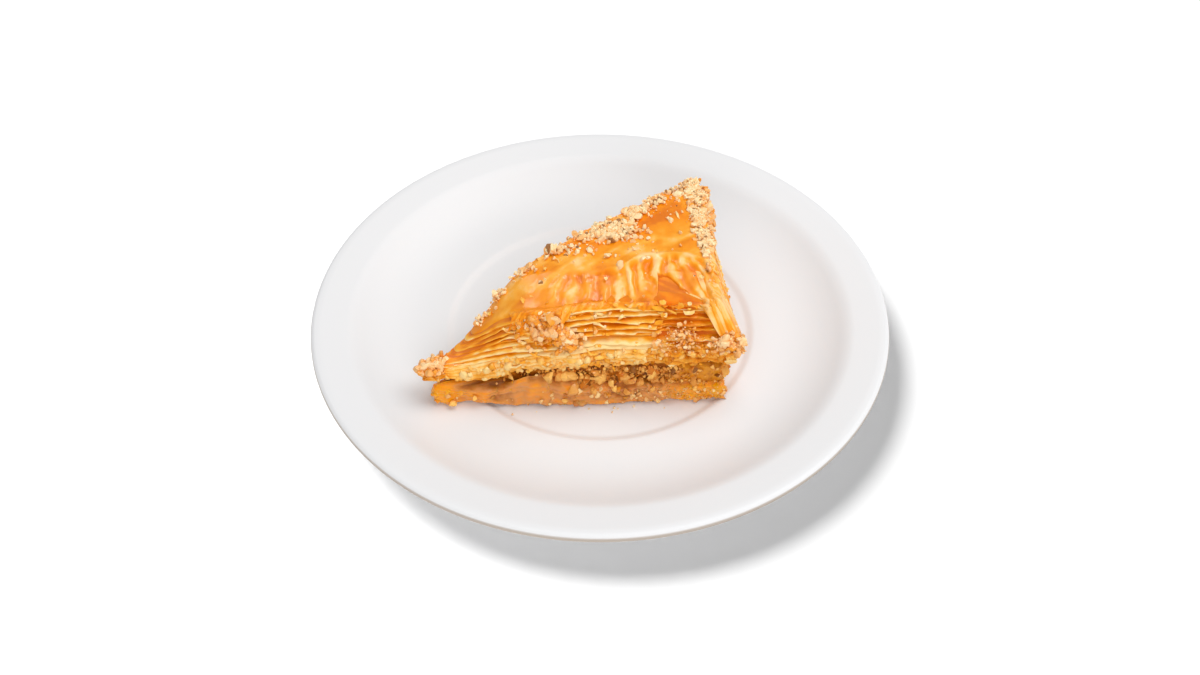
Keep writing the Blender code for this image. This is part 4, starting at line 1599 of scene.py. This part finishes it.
@dataclass
class BottomPastry:
    """The pressed leaves under the nuts, soaked until they are one amber, see-through block."""

    form: SliceForm
    plate: PlateForm
    finish: BakedLeaf = BakedLeaf(
        name="syrup soaked phyllo",
        stops=((0.0, "FCA208"), (0.25, "F0941A"), (0.5, "DE9244"), (0.75, "BC6E1C"), (1.0, "8C4A08")),
        mottle_mm=2.2,
        mottle=0.2,
        roughness=0.34,
        coat=0.8,
        coat_roughness=0.14,
        glow=0.45,
        glow_mm=1.2,
        relief_mm=0.05,
    )
    nut_finish: Walnut = Walnut(name="nut crumbs in syrup", pale="FFDC98", tan="E28E30", coat=0.5)
    layers: int = 5
    rows: int = 60
    crumbs: int = 230
    clumps: int = 300
    clump_radii: tuple = (0.7, 2.6)
    clump_bakes: tuple = (0.1, 0.85)
    well_x: float = -16.0
    well_width: float = 8.0
    well_height: float = 3.6
    sunk_x: float = -32.5
    sunk_width: float = 7.5
    foot_inset: float = 0.84

    def bright(self, x: Array) -> Array:
        """Where light comes through the pastry: near its tip and towards the right end."""
        return bell(x, -43.0, 8.0) + 1.1 * smooth(10.0, 28.0, x)

    def floor(self, x: Array, y: Array) -> Array:
        """Height just over the plate, a little further out than these places."""
        return self.plate.top(np.hypot(x, y) + 1.5) + self.form.gap

    def surface(self) -> Skin:
        """Rings from the plate up: each pressed leaf swells a little between two creases.

        The outward swell is the root of a half sine over the leaf's height, on top of noise that
        roughens the face; the creases between leaves wave up and down. At the front, two bell
        curves over x shape the upper edge: a soft mass wells up over the nuts, and left of it the
        edge is sunk and set back in the shade of the leaves above. The bake is painted deeper in
        the creases and where the face is set back, paler where it stands out, and deeper along the
        sunk edge as a painted shadow of the leaves above.

        Returns:
            The surface, with its bake.
        """
        form = self.form
        share = np.linspace(0.0, 1.0, self.rows)[:, None]
        points, facing = form.outline(form.bottom_corners)
        front = frontal(facing)
        x, y = points.T
        low = self.floor(x, y)
        spot = np.stack(np.broadcast_arrays(x, y, share * 9.0), axis=-1)
        arch = np.sin(math.pi * share)
        wavy = share * self.layers + 1.5 * noise(raised(points, 3.0), 9.0, 81) * arch
        wavy += 0.5 * noise(spot, 3.0, 87)
        swell = np.abs(np.sin(math.pi * wavy)) ** 0.6
        brink = 0.84 + 0.14 * noise(raised(points, 4.0), 3.5, 88)
        well = self.well_height * bell(x, self.well_x, self.well_width, 4) * front
        sunk = bell(x, self.sunk_x, self.sunk_width, 4) * front
        push = 0.16 * swell - 0.1 + rough(spot, (0.75, 4.6, 82), (0.45, 2.1, 83), (0.16, 0.9, 86))
        push += 0.5 * bell(x, -14.0, 18.0) * front - 0.5 * (1.0 - smooth(0.0, 0.1, share))
        push -= 1.3 * smooth(brink, brink + 0.2, share) + 0.7 * sunk * smooth(0.75, 0.95, share)
        plan = points + facing * np.maximum(push, -2.0)[..., None]
        z = low + share * (form.bottom_top(x) + well - 0.8 * sunk - low) + 0.3 * noise(spot, 4.0, 84) * arch
        # Painted shade: deeper in the creases and where the face is set back, and paler where it stands
        # out; along the sunk upper edge, a painted shadow of the leaves above.
        bake = 0.56 - 0.52 * self.bright(x) + 0.08 * (1.0 - swell) - 0.2 * push
        bake += rough(spot, (0.2, 4.0, 85), (0.22, 1.7, 119)) + 0.2 * sunk * smooth(0.78, 0.88, share)
        hub = points.mean(axis=0)
        inner = hub + (points - hub) * self.foot_inset
        foot = raised(inner, self.floor(*inner.T))
        top = raised(inner, form.bottom_top(inner[:, 0]))
        rings = np.concatenate([foot[None], raised(plan, z), top[None]])
        return loft(rings, {"bake": np.concatenate([bake[:1], bake, bake[-1:]])})

    def build(self) -> list[bpy.types.Object]:
        """Makes the pastry, and the crumbs and clumps that stick to its sides.

        Returns:
            The pieces.
        """
        rng = np.random.default_rng(37)
        maker = Crumbs(rng)
        skin = self.surface()
        middles, normals, _ = skin.triangles()
        thick = (np.abs(normals[:, 2]) < 0.6) * (0.3 + smooth(-22.0, 4.0, middles[:, 0]))
        thick = thick * smooth(-0.3, 0.5, noise(middles, 5.0, 89)) + 1e-9
        places, outward = strewn(skin, thick, self.crumbs, rng)
        radii = 0.25 + 1.35 * rng.beta(1.1, 3.0, self.crumbs)
        centres = places + outward * (rng.uniform(-0.3, 0.35, self.crumbs) * radii)[:, None]
        tone = rng.beta(1.3, 1.5, self.crumbs)
        husk = np.where(rng.uniform(size=self.crumbs) < 0.08, 0.8, 0.05)
        lumps = maker.lumps(centres, radii, True, tone, husk)
        clumps = maker.clumps(skin, self.clumps, self.clump_radii, -0.4, self.clump_bakes, 8.0)
        clumps.values["bake"] -= 0.4 * self.bright(clumps.points[:, 0])
        finish = self.finish.build()
        return [
            skin.piece("bottom_pastry", finish, Slot.SOAKED, Node.BOTTOM),
            clumps.piece("bottom_clumps", finish, Slot.SOAKED, Node.BOTTOM),
            lumps.piece("bottom_crumbs", self.nut_finish.build(), Slot.WALNUT, Node.BOTTOM, 38.0),
        ]


@dataclass
class NutFilling:
    """The walnut layer: a dark core of moist paste, its darkness partly painted shade between the
    nuts, with chopped nuts pressed into every side.

    "kinds" gives each kind of nut its name, count, radii, whether it is large, and how many are
    spread evenly. "large_nuts" gives the place, radius and tone of each big piece at the front.
    """

    form: SliceForm
    finish: Walnut = Walnut(
        name="walnut in syrup",
        pale="FFC566",
        tan="D07212",
        husk_light="A8641E",
        husk_dark="703C08",
        coat=0.25,
        roughness=0.45,
    )
    # Partly painted shade: the paste's dark browns are walnut soaked in syrup, and also the shade in the
    # gaps between the nuts.
    paste: BakedLeaf = BakedLeaf(
        name="ground walnut paste",
        stops=((0.0, "E0901C"), (0.3, "C07014"), (0.6, "96500C"), (0.8, "6C3408"), (1.0, "4A2004")),
        mottle_mm=1.2,
        mottle=0.45,
        roughness=0.5,
        coat=0.2,
        relief_mm=0.4,
    )
    kinds: tuple = (
        ("filling_nuts", 260, (0.8, 3.0), True, 0.0),
        ("filling_bits", 2000, (0.3, 1.1), False, 0.1),
    )
    hollow_x: float = -36.0
    hollow_width: float = 9.0
    hollow_depth: float = 2.4
    large_nuts: tuple = (
        (-23.9, -30.0, 15.7, 1.5, 0.1),
        (-9.5, -30.0, 16.5, 2.5, 0.05),
        (-7.0, -31.2, 12.8, 2.3, 0.5),
        (-11.3, -29.0, 20.0, 1.6, 0.0),
        (3.3, -30.8, 14.6, 1.7, 0.0),
        (4.0, -31.2, 12.9, 1.2, 0.1),
        (-34.1, -32.6, 10.4, 1.2, 0.0),
        (-40.2, -33.0, 8.6, 1.2, 0.0),
        (-9.6, -32.2, 9.1, 1.1, 0.0),
        (25.9, -30.9, 12.8, 1.1, 0.0),
        (-1.4, -31.7, 12.2, 1.5, 0.5),
        (7.6, -31.4, 11.5, 1.7, 0.6),
        (14.2, -31.2, 12.8, 1.2, 0.4),
    )

    def core(self) -> Skin:
        """The lumpy core: the layer's outline, sunk back at the left front, roughened by noise.

        Returns:
            The surface, with its bake.
        """
        form = self.form
        share = np.linspace(0.0, 1.0, 12)[:, None]
        points, facing = form.outline(form.nut_corners)
        x, y = points.T
        low = form.bottom_top(x) + 0.1
        z = low + share * (form.nuts_top(x) + 0.2 - low)
        spot = np.stack(np.broadcast_arrays(x, y, z), axis=-1)
        sunk = self.hollow_depth * bell(x, self.hollow_x, self.hollow_width) * frontal(facing)
        pasty = smooth(14.0, 24.0, x)
        push = -0.5 - sunk + 0.7 * fractal(spot, 2.6, 91) + 0.8 * pasty
        plan = points + facing * np.maximum(push, -1.1 - sunk)[..., None]
        return loft(raised(plan, z), {"bake": 0.5 + 0.5 * fractal(spot, 2.0, 92) - 0.45 * pasty})

    def build(self) -> list[bpy.types.Object]:
        """Makes the core, then large and small nuts over its sides, larger where the layer is tall.

        Returns:
            The pieces.
        """
        form = self.form
        rng = np.random.default_rng(19)
        maker = Crumbs(rng)
        core = self.core()
        middles, normals, _ = core.triangles()
        x = middles[:, 0]
        front = smooth(-22.0, -9.0, x) * (1.0 - 0.85 * smooth(13.0, 25.0, x))
        full = np.where(normals[:, 1] < -0.5, front, smooth(-34.0, -12.0, x))
        pieces = [core.piece("nut_core", self.paste.build(), Slot.WALNUT, Node.FILLING)]
        finish = self.finish.build()
        for name, count, (least, greatest), large, even in self.kinds:
            thick = (np.abs(normals[:, 2]) < 0.7) * (even + full) + 1e-9
            places, outward = strewn(core, thick, count, rng)
            low = form.bottom_top(places[:, 0])
            room = form.nuts_top(places[:, 0]) - low
            radii = np.minimum(least + (greatest - least) * rng.beta(1.1, 2.2, count), 0.6 * room + 0.3)
            centres = places + outward * (radii * rng.uniform(-0.2, 0.6, count) + 0.3)[:, None]
            centres[:, 2] = low + (room + 1.2) * rng.uniform(size=count) - 0.6
            tone = rng.beta(1.2, 1.4, count)
            husk = np.where(rng.uniform(size=count) < 0.22, 0.6, 0.1)
            lumps = maker.lumps(centres, radii, large, tone, husk)
            pieces.append(lumps.piece(name, finish, Slot.WALNUT, Node.FILLING, 55.0))
        chosen = np.array(self.large_nuts)
        lumps = maker.lumps(chosen[:, :3], chosen[:, 3], True, chosen[:, 4], 0.0 * chosen[:, 4])
        pieces.append(lumps.piece("large_nuts", finish, Slot.WALNUT, Node.FILLING, 38.0))
        return pieces


@dataclass
class Topping:
    """Chopped walnut strewn over the leaves, thick at the back corner and along the edges.

    The patches give the middle, half widths and thickness of each place where it lies, on the top
    and on the sides. "kinds" gives each kind its name, count, radii, whether it is large, the share
    that still has its skin, and the power that crowds it into the thick places.
    """

    form: SliceForm
    plate: PlateForm
    finish: Walnut = Walnut(name="chopped walnut topping")
    top_patches: tuple = (
        ((-33.0, -15.8), (2.8, 1.3), 1.0),
        ((-27.5, -12.0), (2.8, 1.3), 1.0),
        ((-21.0, -8.5), (5.0, 1.6), 2.0),
        ((-13.0, -2.5), (5.0, 1.6), 2.4),
        ((-6.0, 2.0), (5.0, 1.8), 3.0),
        ((1.5, 6.5), (5.0, 2.8), 4.0),
        ((5.5, 3.4), (5.5, 2.5), 3.8),
        ((-47.0, -28.0), (4.0, 2.5), 5.0),
        ((10.0, 13.0), (5.0, 2.4), 3.4),
        ((17.0, 18.0), (4.0, 2.0), 3.4),
        ((25.0, 24.5), (4.0, 4.5), 7.0),
        ((27.8, 13.0), (1.8, 8.0), 6.0),
        ((29.3, -1.0), (1.6, 7.0), 4.0),
        ((20.0, 11.0), (4.0, 4.0), 0.25),
        ((0.0, -4.0), (14.0, 3.0), 0.25),
        ((0.0, -6.0), (30.0, 14.0), 0.03),
    )
    side_patches: tuple = (
        ((-16.5, -24.0), (3.8, 2.0), 4.5),
        ((-9.0, -26.5), (2.8, 1.4), 3.6),
        ((21.0, -26.6), (3.6, 1.7), 8.0),
        ((34.5, -27.9), (4.5, 1.7), 12.0),
        ((28.5, 21.0), (3.0, 8.0), 4.0),
        ((-46.0, -27.5), (4.0, 3.0), 9.0),
        ((0.0, -24.0), (34.0, 3.0), 0.06),
    )
    kinds: tuple = (
        ("topping_clumps", 178, (1.0, 2.3), True, 0.0, 1.5),
        ("topping_nuts", 450, (0.8, 1.9), True, 0.06, 1.15),
        ("topping_crumbs", 1580, (0.45, 1.3), True, 0.04, 1.05),
        ("topping_dust", 1800, (0.18, 0.42), False, 0.02, 1.2),
        ("topping_husks", 160, (0.25, 0.8), False, 1.0, 1.3),
    )
    strays: int = 14
    heap_height: float = 1.6

    def level(self, places: Array) -> Array:
        """The share of the leaf stack's height at which each place lies; the top face is at 1."""
        x, y, z = places.T
        return (z - self.form.nuts_top(x) - self.form.gap) / self.form.stack_height(x, y)

    def on_top(self, places: Array) -> Array:
        """1 for places on the top face, 0 for those on the sides."""
        return smooth(0.965, 0.995, self.level(places))

    def thickness(self, middles: Array, normals: Array) -> Array:
        """How thickly each place is strewn: sums of soft patches on the top and the dry sides.

        Args:
            middles: Places on the outer face.
            normals: Its normals there.

        Returns:
            The thickness of the topping, where 2.5 and over is a heap.
        """
        x, y, _ = middles.T
        top = self.on_top(middles)
        side = (1.0 - top) * np.maximum(smooth(0.25, 0.4, self.level(middles)), smooth(-38.0, -42.0, x))
        amount = top * spots(x, y, self.top_patches) + side * spots(x, y, self.side_patches)
        clump = smooth(-0.35, 0.45, noise(middles, 3.2, 101))
        return amount * (0.25 + 0.75 * clump) * (normals[:, 2] > -0.3)

    def build(self) -> list[bpy.types.Object]:
        """Makes five kinds of crumb, from coarse clumps down to dust and dark flakes of skin.

        They are heaped up where the topping is thick. Those on the sides are wetter and stand out
        further, except at the notch in the leaves at the right, where they are smaller.

        Returns:
            The pieces.
        """
        rng = np.random.default_rng(29)
        ground = outer_face(self.form)
        middles, normals, _ = ground.triangles()
        strew = self.thickness(middles, normals)
        maker = Crumbs(rng)
        finish = self.finish.build()
        pieces = []
        for name, count, (least, greatest), large, husk_share, crowding in self.kinds:
            places, outward = strewn(ground, strew**crowding, count, rng)
            x, y, _ = places.T
            wet = 1.0 - self.on_top(places)
            notch = plateau(x, (15.5, 16.5), (27.0, 33.0)) * frontal(outward)
            cluster = plateau(x, (-26.0, -20.0), (-7.0, -3.0))
            heap = np.interp(self.thickness(places, outward), (0.0, 2.5), (0.0, 1.0))
            heap += self.heap_height * self.form.heap(x, y)
            radii = least + (greatest - least) * rng.beta(1.2, 2.2, count)
            lift = radii * rng.uniform(0.0, 0.5, count) + heap * rng.uniform(0.0, 1.1, count)
            lift += 0.55 * wet - 0.3 * notch
            radii *= (1.0 - 0.48 * notch) * (1.0 + 0.16 * cluster * wet)
            centres = places + outward * lift[:, None]
            floor = self.form.nuts_top(centres[:, 0]) + 0.2 + radii
            centres[:, 2] = np.maximum(centres[:, 2], floor)
            tone = rng.beta(1.2, 2.8, count)
            tone += rng.uniform(0.08, 0.66, count) * wet * (1.0 + 0.3 * cluster)
            husk = np.where(rng.uniform(size=count) < husk_share * (1.0 - 0.8 * wet), 0.95, 0.05)
            lumps = maker.lumps(centres, radii, large, np.clip(tone, 0.0, 1.0), husk, CEILING)
            pieces.append(lumps.piece(name, finish, Slot.WALNUT, Node.TOP, 38.0))
        pieces.append(self.fallen(maker).piece("plate_crumbs", finish, Slot.WALNUT, Node.TOP, 38.0))
        return pieces

    def fallen(self, maker: Crumbs) -> Skin:
        """The crumbs that lie on the plate round the foot of the slice.

        Args:
            maker: Makes the lumps and draws where they lie.

        Returns:
            All of them as one surface.
        """
        points, facing = self.form.outline(self.form.bottom_corners)
        chosen = maker.rng.integers(0, len(points), self.strays)
        radii = maker.rng.uniform(0.22, 0.6, self.strays)
        places = points[chosen] + facing[chosen] * (1.0 + maker.rng.gamma(1.2, 1.3, self.strays))[:, None]
        height = self.plate.top(np.hypot(*places.T)) + 0.6 * radii
        tone = maker.rng.uniform(0.0, 0.5, self.strays)
        return maker.lumps(raised(places, height), radii, True, tone, 0.0 * tone)


@dataclass(frozen=True)
class Lamp:
    """A square soft box, or a soft sun if it has no size; place, aim and size are in metres."""

    name: str
    place: tuple
    size: float
    power: float
    aim: tuple = (0.0, 0.0, 0.02)
    sun_angle: float = 26.0

    def build(self) -> bpy.types.Object:
        """Adds the light, turned from straight down towards its aim.

        Returns:
            The light.
        """
        data = bpy.data.lights.new(self.name, "AREA" if self.size else "SUN")
        if self.size:
            data.shape = "SQUARE"
            data.size = self.size
        else:
            data.angle = math.radians(self.sun_angle)
        data.energy = self.power
        light = bpy.data.objects.new(self.name, data)
        light.location = self.place
        x, y, z = np.array(self.aim) - np.array(self.place)
        light.rotation_euler = (math.atan2(math.hypot(x, y), -z), 0.0, math.atan2(y, x) - math.pi / 2.0)
        bpy.context.scene.collection.objects.link(light)
        return light


@dataclass
class Studio:
    """A white floor, soft lights and the camera at the photograph's height and distance."""

    target: tuple = (0.0, -8.77 * MM, 10.0 * MM)
    distance: float = 0.370
    elevation: float = 45.086
    lens: float = 38.816
    floor: PaperFloor = PaperFloor()
    floor_half: float = 30.0
    surround: float = 0.3
    soft: tuple = (Lamp("key", (0.38, 0.15, 0.95), 1.0, 8.4), Lamp("fill", (0.0, -1.2, 0.75), 1.0, 9.0))
    glints: tuple = (
        Lamp("glint_left", (-0.6, 0.5, 1.0), 0.3, 4.2),
        Lamp("glint_right", (0.6, 0.1, 1.0), 0.25, 4.0),
    )
    over_floor: tuple = (
        Lamp("floor_sun", (-1.2, 0.5, 2.2), 0.0, 2.6, (0.0, 0.0, 0.0)),
        Lamp("floor_lift", (-0.1, 0.1, 2.2), 0.0, 0.45, (0.0, 0.0, 0.0)),
    )

    def build_floor(self) -> None:
        """Lays a wide flat sheet just under the foot ring."""
        half = self.floor_half
        mesh = bpy.data.meshes.new("floor")
        corners = [(-half, -half, 0.0), (half, -half, 0.0), (half, half, 0.0), (-half, half, 0.0)]
        mesh.from_pydata(corners, [], [(0, 1, 2, 3)])
        mesh.materials.append(self.floor.build())
        floor = bpy.data.objects.new("floor", mesh)
        bpy.context.scene.collection.objects.link(floor)

    def build_camera(self) -> None:
        """Sets up the camera, which looks along +Y, down at the plate."""
        data = bpy.data.cameras.new("camera")
        data.lens = self.lens
        data.sensor_width = 36.0
        data.clip_start = 0.01
        camera = bpy.data.objects.new("camera", data)
        angle = math.radians(self.elevation)
        x, y, z = self.target
        camera.location = (x, y - self.distance * math.cos(angle), z + self.distance * math.sin(angle))
        camera.rotation_euler = (math.pi / 2.0 - angle, 0.0, 0.0)
        bpy.context.scene.collection.objects.link(camera)
        bpy.context.scene.camera = camera

    def build_lights(self) -> None:
        """Sets up the lights, each group with what it lights and the rays that don't see it.

        The soft boxes and the glints leave the floor to its own suns, and the glints give the slice
        its shine without lighting the plate.
        """
        for lamps, things, state, hidden_from in (
            (self.soft, ("floor",), "EXCLUDE", "visible_glossy"),
            (self.glints, ("floor", "glazed_plate"), "EXCLUDE", "visible_diffuse"),
            (self.over_floor, ("floor",), "INCLUDE", None),
        ):
            receivers = bpy.data.collections.new("receivers_" + lamps[0].name)
            for thing in things:
                receivers.objects.link(bpy.data.objects[thing])
            for entry in receivers.collection_objects:
                entry.light_linking.link_state = state
            for light in [lamp.build() for lamp in lamps]:
                light.light_linking.receiver_collection = receivers
                if hidden_from:
                    setattr(light, hidden_from, False)
        bpy.data.lights["floor_lift"].use_shadow = False
        world = bpy.data.worlds.new("white surround")
        world.use_nodes = True
        background = world.node_tree.nodes["Background"]
        background.inputs["Color"].default_value = linear("FFFFFF")
        background.inputs["Strength"].default_value = self.surround
        bpy.context.scene.world = world
        bpy.context.scene.view_settings.view_transform = "Standard"

    def build(self) -> None:
        """Sets up the floor, camera and lights."""
        self.build_floor()
        self.build_camera()
        self.build_lights()


def main() -> None:
    """Builds the plate, the slice from the bottom up, and the studio."""
    logging.basicConfig(level=logging.INFO, format="%(name)s: %(message)s")
    plate = PlateForm()
    form = SliceForm()
    Plate(plate).build()
    BottomPastry(form, plate).build()
    NutFilling(form).build()
    SoakedLeaves(form).build()
    LeafStack(form).build()
    sheet = TopSheet(form)
    sheet.build()
    HangingStrips(form, sheet).build()
    LeafShards(form).build()
    Topping(form, plate).build()
    Studio().build()


if __name__ == "__main__":
    main()
